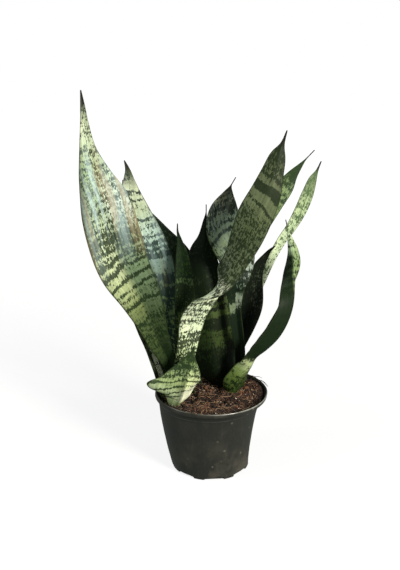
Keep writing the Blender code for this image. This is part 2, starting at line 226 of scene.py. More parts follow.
# Colours are typed as screen values, 0 to 255. Places run from 0 at a leaf's foot to 100 at
# its tip.
# ground: pale colour of the blade along the leaf, with painted light and shade in it: paler
# where the blade stands in full light, darker where it stands in shade. cover: share of it that
# dark marks take. A *_right list is for the half of the blade right of the keel, where that
# half differs; much of that difference is painted light and shade, one half facing the light
# and the other turned from it.
# A *_top list goes on where its list ends, because a ramp holds 32 stops at most.
# sheen: pale reflected light in streaks. shade: painted shade, dark green towards the margin on
# shade_side.
# wing: a pointed corner on the right margin, as its place and its reach in mm.
# slant and chevron: how far marks climb towards the right margin, and towards both margins.
LOOKS = {
    "tall_left_leaf": dict(
        ground=[(0, 24, 36, 16), (12, 22, 34, 13), (20, 44, 58, 27), (26, 66, 80, 44),
            (32, 76, 90, 56), (38, 118, 130, 85), (46, 168, 180, 134), (58, 194, 206, 172),
            (70, 152, 172, 142), (80, 140, 162, 120), (90, 206, 216, 184), (97, 96, 100, 80)],
        ground_right=[(0, 24, 36, 16), (12, 20, 32, 12), (20, 34, 48, 23), (32, 62, 77, 46),
            (40, 84, 101, 72), (50, 112, 132, 102), (60, 138, 152, 120), (70, 226, 240, 222),
            (80, 204, 220, 184), (90, 216, 228, 194), (97, 96, 100, 80)],
        cover=[(0, 55), (20, 45), (24, 35), (27, 60), (30, 30), (32.6, 66), (35, 18), (38.2, 20),
            (39.4, 92), (40.6, 15), (42.5, 46), (43.6, 8), (44.4, 84), (45.2, 8), (46.4, 6),
            (47.3, 98), (48.4, 14), (50, 24), (50.9, 100), (51.9, 34), (53, 40), (53.8, 92),
            (54.8, 44)],
        cover_top=[(56.4, 44), (57.2, 84), (58.2, 50), (59.8, 90), (61.5, 56), (66, 46), (72, 48),
            (80, 46), (86.2, 44), (86.8, 6), (87.5, 36), (93, 30), (96, 55)],
        sheen=[(50, 0), (56, 40), (64, 90), (78, 95), (86, 15), (90, 0)],
        shade=[(50, 0), (60, 60), (72, 90), (86, 60), (91, 10), (96, 80)],
        shade_side=-1.0, mark=(26, 42, 20), slant=0.10, chevron=0.02, jag=1.9, wave=3.0,
        streak=0.5, seed=3.1),
    "rear_left_leaf": dict(
        ground=[(0, 70, 88, 48), (30, 110, 130, 82), (46, 92, 108, 78), (50, 84, 100, 76),
            (60, 120, 142, 132), (66, 160, 184, 170), (72, 190, 214, 198), (80, 126, 144, 118),
            (88, 196, 206, 184), (95, 78, 84, 66)],
        ground_right=[(0, 70, 88, 48), (30, 110, 130, 82), (46, 92, 108, 78), (50, 88, 104, 80),
            (60, 124, 146, 136), (66, 164, 188, 174), (72, 196, 218, 202), (80, 192, 205, 174),
            (88, 216, 224, 198), (95, 84, 90, 70)],
        cover=[(0, 60), (45, 56), (48, 84), (50, 40), (53, 96), (54.5, 26), (60, 14), (61.2, 92),
            (62.6, 92), (63.4, 30), (64.4, 86), (65.2, 30), (66.6, 84), (67.6, 24), (69.2, 64),
            (70.4, 22), (73, 36), (75.4, 18), (76.6, 94), (77.6, 12), (81, 30), (84, 12),
            (85.2, 72), (86, 10), (88.4, 82), (89.4, 12), (94, 30)],
        sheen=[(46, 0), (54, 25), (62, 40), (74, 45), (80, 10), (84, 0)],
        shade=[(54, 0), (62, 40), (74, 40), (80, 0)],
        shade_side=1.0, mark=(32, 50, 46), slant=-0.05, chevron=0.03, jag=1.4, wave=2.4,
        streak=0.4, seed=7.4),
    "back_left_leaf": dict(
        ground=[(0, 46, 60, 36), (60, 52, 66, 46), (95, 60, 70, 54)],
        cover=[(0, 60), (20, 74), (26, 48), (33, 80), (40, 50), (47, 80), (54, 48), (60, 78),
            (66, 54), (72, 78), (80, 60), (100, 70)],
        mark=(24, 36, 24), slant=0.15, chevron=0.05, jag=1.6, wave=3.0, streak=0.4, seed=11.3),
    "narrow_inner_leaf": dict(
        ground=[(0, 52, 66, 36), (40, 74, 92, 56), (48, 78, 96, 58), (55, 58, 76, 42),
            (66, 70, 88, 54), (71, 72, 92, 58), (74, 38, 62, 26), (84, 34, 60, 20),
            (93, 34, 46, 28)],
        cover=[(0, 60), (30, 74), (40, 40), (52, 50), (60, 78), (68, 74), (69.6, 40), (71.4, 44),
            (72.6, 88), (74, 62), (84, 60), (92, 86)],
        mark=(20, 33, 16), slant=0.0, chevron=0.0, jag=1.2, wave=1.2, streak=0.3, seed=15.9),
    "upright_centre_leaf": dict(
        ground=[(0, 26, 36, 18), (20, 34, 45, 23), (34, 54, 68, 32), (47, 68, 82, 44),
            (56, 56, 70, 40), (70, 40, 58, 34), (92, 54, 66, 46)],
        ground_right=[(0, 22, 32, 16), (20, 26, 38, 20), (30, 38, 52, 26), (40, 48, 64, 32),
            (50, 36, 50, 26), (56, 34, 46, 28), (70, 40, 54, 34), (92, 44, 54, 40)],
        cover=[(0, 70), (12, 66), (15, 86), (18, 62), (21, 84), (24, 60), (28, 70), (31, 26),
            (37, 30), (39.5, 88), (43.5, 84), (45.4, 20), (47.4, 24), (49, 78), (51, 34), (56, 60),
            (60, 84), (66, 66), (70, 88), (76, 70), (82, 86), (100, 80)],
        mark=(15, 24, 12), slant=-0.05, chevron=0.08, jag=1.6, wave=3.0, streak=0.35, seed=19.2),
    "spiked_centre_leaf": dict(
        ground=[(0, 14, 20, 12), (30, 26, 38, 22), (40, 40, 52, 30), (43, 116, 130, 102),
            (46, 112, 126, 98), (49, 38, 50, 32), (60, 48, 60, 41), (68, 96, 110, 80),
            (73, 128, 144, 108), (80, 152, 168, 142), (90, 150, 154, 130), (97, 80, 80, 66)],
        ground_right=[(0, 14, 20, 12), (30, 26, 38, 22), (42, 50, 62, 40), (46, 178, 190, 164),
            (50, 182, 194, 168), (52, 60, 78, 54), (55, 134, 154, 130), (59, 214, 226, 206),
            (64, 214, 226, 206), (67, 130, 146, 116), (75, 146, 162, 136), (82, 132, 148, 128),
            (90, 120, 128, 110), (97, 80, 82, 70)],
        cover=[(0, 72), (36, 78), (41, 76), (43.5, 6), (46, 14), (48, 88), (56, 84), (58, 76),
            (60, 88), (64, 78), (66, 80), (69, 30), (72, 60), (74.6, 12), (77.4, 20), (78.6, 90),
            (80, 14), (82, 56), (84, 24), (87, 74), (91, 40), (97, 80)],
        cover_right=[(0, 72), (36, 78), (43, 76), (46, 34), (48, 2), (50, 14), (52, 92), (54, 62),
            (56, 88), (58, 52), (60, 84), (62, 40), (65, 42), (68, 76), (69, 32), (72, 64),
            (74.6, 18), (77.4, 24), (78.6, 90), (80, 20), (82, 62), (84, 30), (87, 78), (91, 46),
            (97, 80)],
        sheen=[(66, 0), (72, 14), (84, 24), (92, 10)],
        mark=(20, 32, 20), slant=0.34, chevron=0.05, jag=1.3, wave=1.8, streak=0.4, seed=23.7),
    "twisted_front_leaf": dict(
        ground=[(0, 200, 214, 166), (10, 240, 252, 210), (20, 214, 234, 178), (30, 240, 252, 214),
            (42, 240, 252, 220), (51, 214, 218, 190), (54, 84, 93, 70), (60, 86, 95, 72),
            (66, 78, 88, 63), (72, 80, 90, 64), (79, 90, 99, 71), (86, 82, 90, 65),
            (92, 70, 77, 54), (97, 44, 48, 36)],
        cover=[(0, 20), (14, 26), (17, 56), (24, 54), (26.4, 74), (27.6, 50), (28.6, 70), (30, 14),
            (32.2, 28), (33.2, 58), (34.2, 40), (35.6, 50), (36.8, 34), (38.4, 64), (39.6, 26),
            (41.6, 58), (43.4, 22), (46, 48), (47.6, 20), (50, 56), (52, 44), (55, 60), (60, 46),
            (66, 56), (70, 44), (74, 52), (76.9, 12), (77.6, 90), (78.5, 8), (80.8, 4), (81.6, 96),
            (83.8, 96)],
        cover_top=[(84.4, 18), (85.6, 28), (86.4, 82), (87.4, 40), (89, 56), (92, 62), (95, 84)],
        shade=[(52, 40), (58, 60), (64, 20), (82, 10), (88, 70), (95, 80)],
        shade_side=-1.0, mark=(27, 38, 19), slant=0.36, chevron=0.0, jag=1.5, wave=2.2, streak=0.5,
        seed=29.1),
    "rear_right_leaf": dict(
        ground=[(0, 80, 104, 52), (60, 116, 136, 86), (74, 126, 146, 94), (84, 138, 158, 110),
            (89, 76, 92, 60), (96, 44, 54, 34)],
        cover=[(0, 55), (60, 44), (74, 36), (80, 46), (85, 44), (88, 80), (100, 88)],
        mark=(44, 62, 36), slant=0.1, chevron=0.0, jag=1.5, wave=2.0, streak=0.3, seed=31.4),
    "arching_right_leaf": dict(
        ground=[(0, 96, 112, 84), (36, 240, 246, 224), (50, 238, 250, 216), (57, 226, 242, 202),
            (65, 224, 240, 200), (72, 210, 228, 188), (80, 188, 206, 160), (90, 128, 144, 108),
            (96, 96, 112, 80)],
        cover=[(0, 46), (48, 38), (51, 26), (54, 62), (56, 24), (60, 28), (66, 36), (70, 24),
            (73, 58), (75, 32), (78, 58), (80.5, 34), (83, 58), (85, 34), (88, 60), (91, 40),
            (95, 58), (100, 90)],
        mark=(80, 102, 68), slant=-0.2, chevron=0.0, jag=1.6, wave=2.0, streak=0.3, seed=35.8),
    "curled_right_leaf": dict(
        ground=[(0, 34, 46, 20), (8, 42, 54, 26), (14, 60, 76, 36), (20, 100, 116, 74),
            (26, 110, 124, 80), (30, 18, 32, 14), (60, 22, 34, 18), (66, 112, 132, 84),
            (72, 142, 166, 110), (80, 122, 144, 98), (88, 148, 168, 126), (92, 174, 192, 154),
            (98, 150, 166, 130)],
        ground_right=[(0, 44, 58, 26), (8, 70, 88, 40), (16, 96, 116, 60), (20, 130, 150, 92),
            (23, 186, 202, 148), (27, 188, 202, 150), (30, 16, 30, 12), (60, 15, 29, 12),
            (70, 36, 50, 29), (83, 58, 72, 50), (86, 190, 210, 172), (92, 222, 240, 204)],
        cover=[(0, 50), (6, 60), (8, 26), (9.6, 62), (11, 24), (13, 60), (14.6, 22), (17, 46),
            (19, 14), (26, 10), (29, 30), (31, 76), (62, 76), (66, 58), (68.6, 20), (70, 62),
            (71.4, 16), (73, 66), (74.4, 16), (76, 64), (77.6, 18), (79.4, 60), (81, 18), (83, 56),
            (85, 22), (88, 48), (91, 20), (97, 50)],
        mark=(24, 38, 18), slant=-0.1, chevron=0.28, jag=0.9, wave=1.2, streak=0.35, seed=39.6),
    "dark_right_leaf": dict(
        ground=[(0, 20, 30, 18), (50, 24, 34, 22), (60, 28, 38, 26), (78, 38, 46, 34),
            (90, 42, 48, 36)],
        ground_right=[(0, 24, 34, 20), (50, 30, 40, 27), (60, 66, 72, 58), (78, 66, 74, 58),
            (90, 60, 66, 52)],
        cover=[(0, 66), (30, 78), (36, 58), (43, 82), (50, 62), (57, 80), (64, 60), (72, 72),
            (80, 62), (88, 84), (100, 84)],
        mark=(14, 20, 12), slant=0.1, chevron=0.05, jag=1.4, wave=2.6, streak=0.6, seed=43.3),
    "short_front_leaf": dict(
        ground=[(0, 44, 56, 26), (10, 50, 62, 29), (17, 92, 106, 62), (20, 160, 172, 122),
            (25, 250, 253, 226), (36, 250, 255, 230), (42, 240, 248, 200), (50, 218, 232, 176),
            (60, 200, 216, 158), (70, 138, 158, 110), (80, 84, 102, 58), (92, 64, 76, 46)],
        ground_right=[(0, 40, 52, 27), (10, 46, 59, 32), (18, 110, 124, 88), (24, 176, 190, 150),
            (34, 178, 192, 154), (42, 142, 158, 112), (50, 156, 172, 118), (60, 152, 170, 120),
            (70, 90, 108, 70), (80, 104, 122, 76), (92, 60, 70, 46)],
        cover=[(0, 30), (14, 20), (20, 30), (22, 0), (38, 0), (40, 60), (41.5, 0), (46, 8),
            (48, 80), (49.5, 6), (53, 16), (55, 95), (57, 16), (63, 76), (66, 30), (72, 70),
            (76, 44), (82, 62), (92, 60), (100, 85)],
        cover_right=[(0, 30), (14, 20), (20, 24), (24.6, 4), (26, 84), (27.4, 4), (30.6, 6),
            (32, 92), (33.4, 6), (36.5, 8), (38, 98), (39.5, 8), (43, 10), (45, 100), (47, 14),
            (51, 16), (53, 100), (56, 20), (63, 76), (66, 36), (72, 86), (76, 60), (82, 76),
            (92, 65), (100, 85)],
        keel=0.8, wing=(0.37, 3.8), mark=(38, 55, 31), slant=0.0, chevron=0.42, jag=0.8, wave=2.4,
        streak=0.5, seed=47.2),
    "low_left_leaf": dict(
        ground=[(0, 114, 124, 98), (10, 128, 138, 106), (16, 112, 122, 94), (20, 60, 66, 48),
            (30, 50, 60, 44), (40, 112, 128, 80), (60, 100, 116, 74), (90, 70, 82, 54)],
        ground_right=[(0, 236, 242, 212), (20, 250, 252, 228), (30, 250, 252, 228),
            (40, 154, 168, 120), (60, 112, 128, 86), (90, 70, 82, 54)],
        cover=[(0, 30), (14, 20), (22, 8), (27, 36), (30, 8), (34, 44), (37, 12), (42, 60),
            (46, 24), (52, 64), (57, 30), (63, 64), (70, 34), (78, 66), (100, 80)],
        mark=(38, 52, 30), slant=0.1, chevron=0.1, jag=1.0, wave=1.6, streak=0.4, seed=51.9),
}


def screen(red, green, blue):
    """Linear colour for a colour typed as screen values from 0 to 255."""
    shares = [value / 255.0 for value in (red, green, blue)]
    return tuple(s / 12.92 if s <= 0.04045 else ((s + 0.055) / 1.055) ** 2.4 for s in shares)


def rgba(colour):
    return (*colour, 1.0)


# ---------------------------------------------------------------- settings

def length_property(name, description, default, low, high):
    return FloatProperty(name=name, description=description, default=default, min=low, max=high,
                         subtype="DISTANCE", unit="LENGTH")


def colour_property(name, description, default):
    return FloatVectorProperty(name=name, description=description, default=default, size=3,
                               min=0.0, max=1.0, subtype="COLOR")


def count_property(name, description, default, low, high):
    return IntProperty(name=name, description=description, default=default, min=low, max=high)


def share_property(name, description, default, low=0.0):
    return FloatProperty(name=name, description=description, default=default, min=low, max=1.0,
                         subtype="FACTOR")


def power_property(name, description, default):
    return FloatProperty(name=name, description=description, default=default, min=0.0,
                         max=500.0, unit="POWER")


class PotSettings(bpy.types.PropertyGroup):
    """Sizes and finish of the nursery pot."""
    rim_radius: length_property("Rim radius", "Outer radius of the rim",
                                POT_HIGH.x, 0.03, 0.2)
    height: length_property("Height", "Height of the rim above the ground",
                            POT_HIGH.z, 0.03, 0.3)
    wall: length_property("Wall", "Thickness of the moulded wall", 1.3 * MM, 0.0005, 0.005)
    steps: count_property("Steps", "Corners round the pot", 160, 32, 256)
    plastic: colour_property("Plastic", "Colour of the moulded plastic", screen(36, 37, 33))
    dust: colour_property("Dust", "Colour of dried soil dust", screen(128, 120, 104))
    dusting: share_property("Dusting", "How much dust clings to the wall", 0.35)


class SoilSettings(bpy.types.PropertyGroup):
    """Surface and litter of the potting soil."""
    lump_height: length_property("Lump height", "How far the soil's lumps rise and fall",
                                 4.2 * MM, 0.0, 0.01)
    lump_size: length_property("Lump size", "Width of a lump", 5.5 * MM, 0.001, 0.03)
    crumbs: count_property("Crumbs", "Loose crumbs on the surface", 1500, 0, 4000)
    fibres: count_property("Fibres", "Coir fibres on the surface", 480, 0, 3000)
    chips: count_property("Chips", "Pale bark and mineral chips", 80, 0, 400)
    dark: colour_property("Dark", "Damp peat", screen(22, 15, 12))
    warm: colour_property("Warm", "Dry red-brown coir", screen(58, 39, 30))
    fibre: colour_property("Fibre", "Pale coir fibre", screen(196, 160, 128))
    chip: colour_property("Chip", "Pale chip", screen(226, 214, 196))


class LeafSettings(bpy.types.PropertyGroup):
    """Mesh and skin shared by all leaves."""
    across: count_property("Across", "Quads from margin to margin", 14, 4, 32)
    rows_per_span: count_property("Rows per span", "Quads between two stations", 6, 2, 16)
    ripple: length_property("Ripple", "Depth of the grooves that run along a blade",
                            0.10 * MM, 0.0, 0.001)
    flutter: length_property("Flutter", "How far a margin waves in and out of line",
                             0.35 * MM, 0.0, 0.003)
    edge: colour_property("Edge", "Thin line round the margin", screen(38, 48, 24))
    tip: colour_property("Tip", "Dry point that ends each leaf", screen(26, 27, 17))
    roughness: share_property("Roughness", "Roughness of the leaf skin", 0.42, 0.05)
    gloss: share_property("Gloss", "Strength of the skin's reflections", 0.16)


class StageSettings(bpy.types.PropertyGroup):
    """Floor, lights and camera."""
    floor: colour_property("Floor", "Colour of the floor", screen(130, 130, 130))
    glow: share_property("Glow", "Even light given off by the pale floor", 0.82)
    key: power_property("Key", "Power of the key light", 32.0)
    fill: power_property("Fill", "Power of the cool side light", 8.0)
    sky: FloatProperty(name="Sky", description="Strength of the light from all round",
                       default=0.22, min=0.0, max=5.0)
    camera_tilt: FloatProperty(name="Camera tilt", description="How far the camera looks down",
                               default=math.radians(17.3), min=0.0, max=1.5, subtype="ANGLE",
                               unit="ROTATION")


# ---------------------------------------------------------------- shared mesh steps

def deselect_all():
    for obj in list(bpy.context.selected_objects):
        obj.select_set(False)


def added(name):
    """Name the object that an operator has just added, with its place put in its mesh."""
    piece = bpy.context.active_object
    piece.name = piece.data.name = name
    bpy.ops.object.transform_apply(location=True, rotation=True, scale=True)
    return piece


def make_active(obj):
    deselect_all()
    obj.select_set(True)
    bpy.context.view_layer.objects.active = obj


def apply_modifier(obj, kind, name, **settings):
    make_active(obj)
    modifier = obj.modifiers.new(name, kind)
    for key, value in settings.items():
        setattr(modifier, key, value)
    bpy.ops.object.modifier_apply(modifier=modifier.name)


def joined(pieces):
    """Join the pieces into the first one."""
    deselect_all()
    for piece in pieces:
        piece.select_set(True)
    bpy.context.view_layer.objects.active = pieces[0]
    bpy.ops.object.join()
    return pieces[0]


def select_verts(obj, test):
    """Select in edit mode the vertices whose place passes the test, and only those."""
    make_active(obj)
    bpy.ops.object.mode_set(mode="EDIT")
    bpy.ops.mesh.select_mode(type="VERT")
    bpy.ops.mesh.select_all(action="DESELECT")
    bpy.ops.object.mode_set(mode="OBJECT")
    for vert in obj.data.vertices:
        vert.select = bool(test(vert.co))
    bpy.ops.object.mode_set(mode="EDIT")


def read_places(mesh):
    places = np.empty(len(mesh.vertices) * 3, np.float64)
    mesh.vertices.foreach_get("co", places)
    return places.reshape(-1, 3)


def turned_piece(name, profile, steps):
    """Closed solid of revolution: a disc, drawn out ring by ring along (radius, height)."""
    deselect_all()
    radius, height = profile[0]
    bpy.ops.mesh.primitive_circle_add(vertices=steps, radius=radius, fill_type="TRIFAN",
                                      location=(0.0, 0.0, height))
    piece = added(name)
    select_verts(piece, lambda co: math.hypot(co.x, co.y) > radius * 0.5)
    for (r0, z0), (r1, z1) in zip(profile, profile[1:]):
        bpy.ops.mesh.extrude_edges_move(TRANSFORM_OT_translate={"value": (0.0, 0.0, z1 - z0)})
        if r1 > 0.0:
            bpy.ops.transform.resize(value=(r1 / r0, r1 / r0, 1.0),
                                     center_override=(0.0, 0.0, z1))
        else:
            bpy.ops.mesh.merge(type="CENTER")
    bpy.ops.mesh.select_all(action="SELECT")
    bpy.ops.mesh.normals_make_consistent(inside=False)
    bpy.ops.object.mode_set(mode="OBJECT")
    return piece


def smooth(piece, degrees):
    make_active(piece)
    bpy.ops.object.shade_smooth_by_angle(angle=math.radians(degrees))


def hand_over(piece, slot, material, *nodes):
    """Give a finished piece its material and its body, and hide the CAD nodes it stands for; slot
    is not used.
    """
    piece.data.materials.clear()
    piece.data.materials.append(material)
    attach(piece, ROOT)
    if nodes:
        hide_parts(*nodes)


# ---------------------------------------------------------------- shared material steps

class Graph:
    """Short calls for building a node tree. Arguments are sockets or plain values."""

    def __init__(self, tree):
        self.tree = tree

    def node(self, kind, **settings):
        node = self.tree.nodes.new("ShaderNode" + kind)
        for key, value in settings.items():
            setattr(node, key, value)
        return node

    def feed(self, socket, value):
        if isinstance(value, bpy.types.NodeSocket):
            self.tree.links.new(value, socket)
        else:
            socket.default_value = value

    def math(self, operation, *values, clamp=False):
        node = self.node("Math", operation=operation, use_clamp=clamp)
        for socket, value in zip(node.inputs, values):
            self.feed(socket, value)
        return node.outputs[0]

    def noise(self, vector, scale=1.0, detail=2.0, roughness=0.5):
        node = self.node("TexNoise")
        self.feed(node.inputs["Vector"], vector)
        node.inputs["Scale"].default_value = scale
        node.inputs["Detail"].default_value = detail
        node.inputs["Roughness"].default_value = roughness
        return node.outputs[0]

    def vector(self, x, y, z):
        node = self.node("CombineXYZ")
        for socket, value in zip(node.inputs, (x, y, z)):
            self.feed(socket, value)
        return node.outputs[0]

    def split(self, vector):
        node = self.node("SeparateXYZ")
        self.feed(node.inputs[0], vector)
        return node.outputs

    def patches(self, scale, across, along, depth, detail=2.0, roughness=0.5):
        """Noise with patches of one size across the blade and another along it."""
        place = self.vector(self.math("MULTIPLY", across, scale[0]),
                            self.math("MULTIPLY", along, scale[1]), depth)
        return self.noise(place, detail=detail, roughness=roughness)

    def spread(self, value, low, high, to_low=0.0, to_high=1.0):
        """Map a value's range to another, clamped at both ends."""
        node = self.node("MapRange", clamp=True)
        for socket, setting in zip(node.inputs, (value, low, high, to_low, to_high)):
            self.feed(socket, setting)
        return node.outputs[0]

    def blend(self, factor, first, second, mode="MIX"):
        node = self.node("Mix", data_type="RGBA", blend_type=mode)
        self.feed(node.inputs["Factor"], factor)
        colours = [s for s in node.inputs if s.type == "RGBA"]
        self.feed(colours[0], first)
        self.feed(colours[1], second)
        return [s for s in node.outputs if s.type == "RGBA"][0]

    def ramp(self, factor, stops):
        """Colour ramp through (place from 0 to 100, colour or share) stops."""
        node = self.node("ValToRGB")
        ramp = node.color_ramp
        ramp.interpolation = "LINEAR"
        while len(ramp.elements) > 1:
            ramp.elements.remove(ramp.elements[-1])
        for index, (place, colour) in enumerate(stops):
            stop = ramp.elements[0] if index == 0 else ramp.elements.new(place / 100.0)
            stop.position = place / 100.0
            stop.color = rgba(colour)
        self.feed(node.inputs[0], factor)
        return node.outputs[0]


def new_group(name, inputs, outputs):
    """Empty node group, as (group, graph, its input sockets, its output sockets).

    inputs and outputs are labels with commas between them. A starred one holds a colour.
    """
    group = bpy.data.node_groups.new(name, "ShaderNodeTree")
    for side, labels in (("INPUT", inputs), ("OUTPUT", outputs)):
        for label in labels.split(", "):
            kind = "Color" if label.startswith("*") else "Float"
            group.interface.new_socket(name=label.lstrip("*"), in_out=side,
                                       socket_type="NodeSocket" + kind)
    entry = group.nodes.new("NodeGroupInput")
    leave = group.nodes.new("NodeGroupOutput")
    return group, Graph(group), entry.outputs, leave.inputs


def new_material(name, roughness):
    material = bpy.data.materials.new(name)
    material.use_nodes = True
    shader = material.node_tree.nodes["Principled BSDF"]
    shader.inputs["Roughness"].default_value = roughness
    return material, Graph(material.node_tree), shader


def bump(graph, shader, height, strength, distance):
    node = graph.node("Bump")
    node.inputs["Strength"].default_value = strength
    node.inputs["Distance"].default_value = distance
    graph.feed(node.inputs["Height"], height)
    graph.feed(shader.inputs["Normal"], node.outputs[0])


# ---------------------------------------------------------------- leaf skin

def blade_route_group():
    """Place along the blade, wavy and toothed, so that a mark laid on it has a ragged edge."""
    group, g, given, out = new_group(
        "blade route", "Length, Slant, Chevron, Wave, Jag, Seed",
        "Place, Side, Across, Along, True place, Warped")
    blade = g.node("Attribute", attribute_name="blade")
    side, across, along = g.split(blade.outputs["Vector"])
    seed = given["Seed"]
    place = g.math("MULTIPLY_ADD", across, given["Slant"], along)
    place = g.math("MULTIPLY_ADD", g.math("ABSOLUTE", across), given["Chevron"], place)
    broad = g.patches(BROAD_WAVES, across, along, seed, detail=1.0)
    teeth = g.patches(TEETH, across, along, g.math("ADD", seed, 5.0), detail=2.0)
    place = g.math("MULTIPLY_ADD", g.math("SUBTRACT", broad, 0.5), given["Wave"], place)
    place = g.math("MULTIPLY_ADD", g.math("SUBTRACT", teeth, 0.5), given["Jag"], place)
    g.feed(out["Place"], g.math("DIVIDE", place, given["Length"]))
    g.feed(out["Warped"], place)
    g.feed(out["Side"], side)
    g.feed(out["Across"], across)
    g.feed(out["Along"], along)
    g.feed(out["True place"], g.math("DIVIDE", along, given["Length"]))
    return group


def blade_skin_group():
    """Pale ground with dark flecks wherever the cover is high, veins, keel, margin and tip."""
    group, g, given, out = new_group(
        "blade skin", "Side, Across, Along, True place, Warped, Cover, Sheen, Keel, Shade, "
        "Shade side, Streak, Seed, *Ground, *Mark, *Edge, *Tip", "*Colour, Height")

    def grain(scale, shift, detail=2.0, roughness=0.5, down=given["Along"]):
        return g.patches(scale, given["Across"], down, g.math("ADD", given["Seed"], shift),
                         detail, roughness)

    flecks = grain(FLECKS, 1.0, roughness=0.6)
    fine = grain(FINE_FLECKS, 2.0, 1.0)
    bands = grain(BANDS, 8.0, 2.0, 0.6, given["Warped"])
    mixed = g.math("MULTIPLY_ADD", fine, 0.25, g.math("MULTIPLY", flecks, 0.45))
    mixed = g.math("MULTIPLY_ADD", bands, 0.30, mixed)
    mixed = g.spread(mixed, 0.39, 0.61)
    dark = g.math("SUBTRACT", g.math("MULTIPLY", given["Cover"], 1.1), mixed)
    dark = g.math("MULTIPLY_ADD", dark, 7.0, 0.5, clamp=True)

    cloud = grain(CLOUDS, 3.0)
    veins = grain(VEINS, 4.0)
    warm = g.blend(g.spread(cloud, 0.35, 0.7, 0.0, 0.5), given["Ground"],
                   g.blend(1.0, given["Ground"], (0.96, 0.98, 0.80, 1.0), "MULTIPLY"))
    lit = g.spread(veins, 0.3, 0.7, -0.5, 0.5)
    lit = g.math("MULTIPLY_ADD", g.math("MULTIPLY", lit, given["Streak"]), 0.8, 0.72)
    lit = g.math("MULTIPLY_ADD", bands, 0.56, lit)
    ground = g.blend(1.0, warm, g.vector(lit, lit, lit), "MULTIPLY")
    mark = g.blend(g.spread(fine, 0.35, 0.7, 0.0, 0.14), given["Mark"], ground)
    colour = g.blend(g.math("MULTIPLY", dark, 0.98), ground, mark)

    width = g.math("ABSOLUTE", given["Side"])
    keel = g.spread(width, 0.0, g.math("MULTIPLY_ADD", given["Keel"], 0.22, 0.02),
                    given["Keel"], 0.0)
    colour = g.blend(keel, colour, given["Mark"])
    rim_noise = g.math("MULTIPLY_ADD", grain(MARGIN_WOBBLE, 6.0), 0.05, -0.025)
    rim = g.spread(g.math("ADD", width, rim_noise), 0.93, 0.98, 0.0, 0.75)
    colour = g.blend(rim, colour, given["Edge"])
    point = g.math("MULTIPLY_ADD", cloud, 0.02, given["True place"])
    colour = g.blend(g.spread(point, 0.962, 0.985, 0.0, 0.95), colour, given["Tip"])
    for scale, shift, low, high, share, tint in COLUMNS:
        columns = g.spread(grain(scale, shift), low, high, 0.0, share)
        colour = g.blend(g.math("MULTIPLY", columns, given["Sheen"]), colour,
                         rgba(screen(*tint)))
    # painted shade: the mark colour laid over the margin on the shade side, as far as the shade
    # ramp says
    shaded = g.spread(g.math("MULTIPLY", given["Side"], given["Shade side"]), 0.55, 1.0)
    colour = g.blend(g.math("MULTIPLY", shaded, given["Shade"]), colour, given["Mark"])
    g.feed(out["Colour"], colour)
    pores = grain(PORES, 7.0, 1.0)
    height = g.math("MULTIPLY_ADD", veins, 0.7, g.math("MULTIPLY", pores, 0.25))
    g.feed(out["Height"], g.math("MULTIPLY_ADD", flecks, 0.2, height))
    return group


def use_group(graph, group, **values):
    node = graph.node("Group", node_tree=group)
    for key, value in values.items():
        graph.feed(node.inputs[key.replace("_", " ")], value)
    return node


def blade_material(name, look, length, groups, settings):
    route_group, skin_group = groups
    material, g, shader = new_material(name + "_skin", settings.roughness)
    route = use_group(g, route_group, Length=length, Slant=-look["slant"],
                      Chevron=look["chevron"], Wave=look["wave"] * WAVE_REACH * MM,
                      Jag=look["jag"] * WAVE_REACH * MM, Seed=look["seed"]).outputs

    def share_ramp(stops):
        return g.ramp(route["Place"], [(p, (c / 100.0,) * 3) for p, c in stops])

    def colour_ramp(stops):
        return g.ramp(route["True place"], [(p, screen(*c)) for p, *c in stops])

    # Each half may take its own ramps; where they differ they hold painted light and shade.
    right = g.spread(route["Side"], -0.12, 0.12)
    cover, ground = share_ramp(look["cover"]), colour_ramp(look["ground"])
    if "cover_top" in look:
        change = (look["cover"][-1][0] + look["cover_top"][0][0]) / 200.0
        cover = g.blend(g.math("GREATER_THAN", route["Place"], change), cover,
                        share_ramp(look["cover_top"]))
    if "cover_right" in look:
        cover = g.blend(right, cover, share_ramp(look["cover_right"]))
    if "ground_right" in look:
        ground = g.blend(right, ground, colour_ramp(look["ground_right"]))
    skin = use_group(g, skin_group, Side=route["Side"], Across=route["Across"],
                     Along=route["Along"], True_place=route["True place"],
                     Warped=route["Warped"], Cover=cover,
                     Sheen=share_ramp(look["sheen"]) if "sheen" in look else 0.0,
                     Shade=share_ramp(look["shade"]) if "shade" in look else 0.0,
                     Shade_side=look.get("shade_side", 1.0),
                     Keel=look.get("keel", 0.35), Streak=look["streak"],
                     Seed=look["seed"], Ground=ground, Mark=rgba(screen(*look["mark"])),
                     Edge=rgba(settings.edge), Tip=rgba(settings.tip)).outputs
    g.feed(shader.inputs["Base Color"], skin["Colour"])
    shader.inputs["Specular IOR Level"].default_value = settings.gloss
    g.feed(shader.inputs["Roughness"],
           g.spread(skin["Height"], 0.3, 0.75, settings.roughness - 0.08,
                    settings.roughness + 0.1))
    bump(g, shader, skin["Height"], 0.35, 0.35 * MM)
    return material


# ---------------------------------------------------------------- leaves

def rooted(stations):
    """Carry a route on downwards, a little narrower, to the root depth below the soil."""
    x, y, z, width, facing, fold = stations[0]
    foot = (x * ROOT_DRAW, y * ROOT_DRAW, SOIL_LEVEL - ROOT_DEPTH, width * 0.8, facing, fold)
    return [foot] + list(stations)


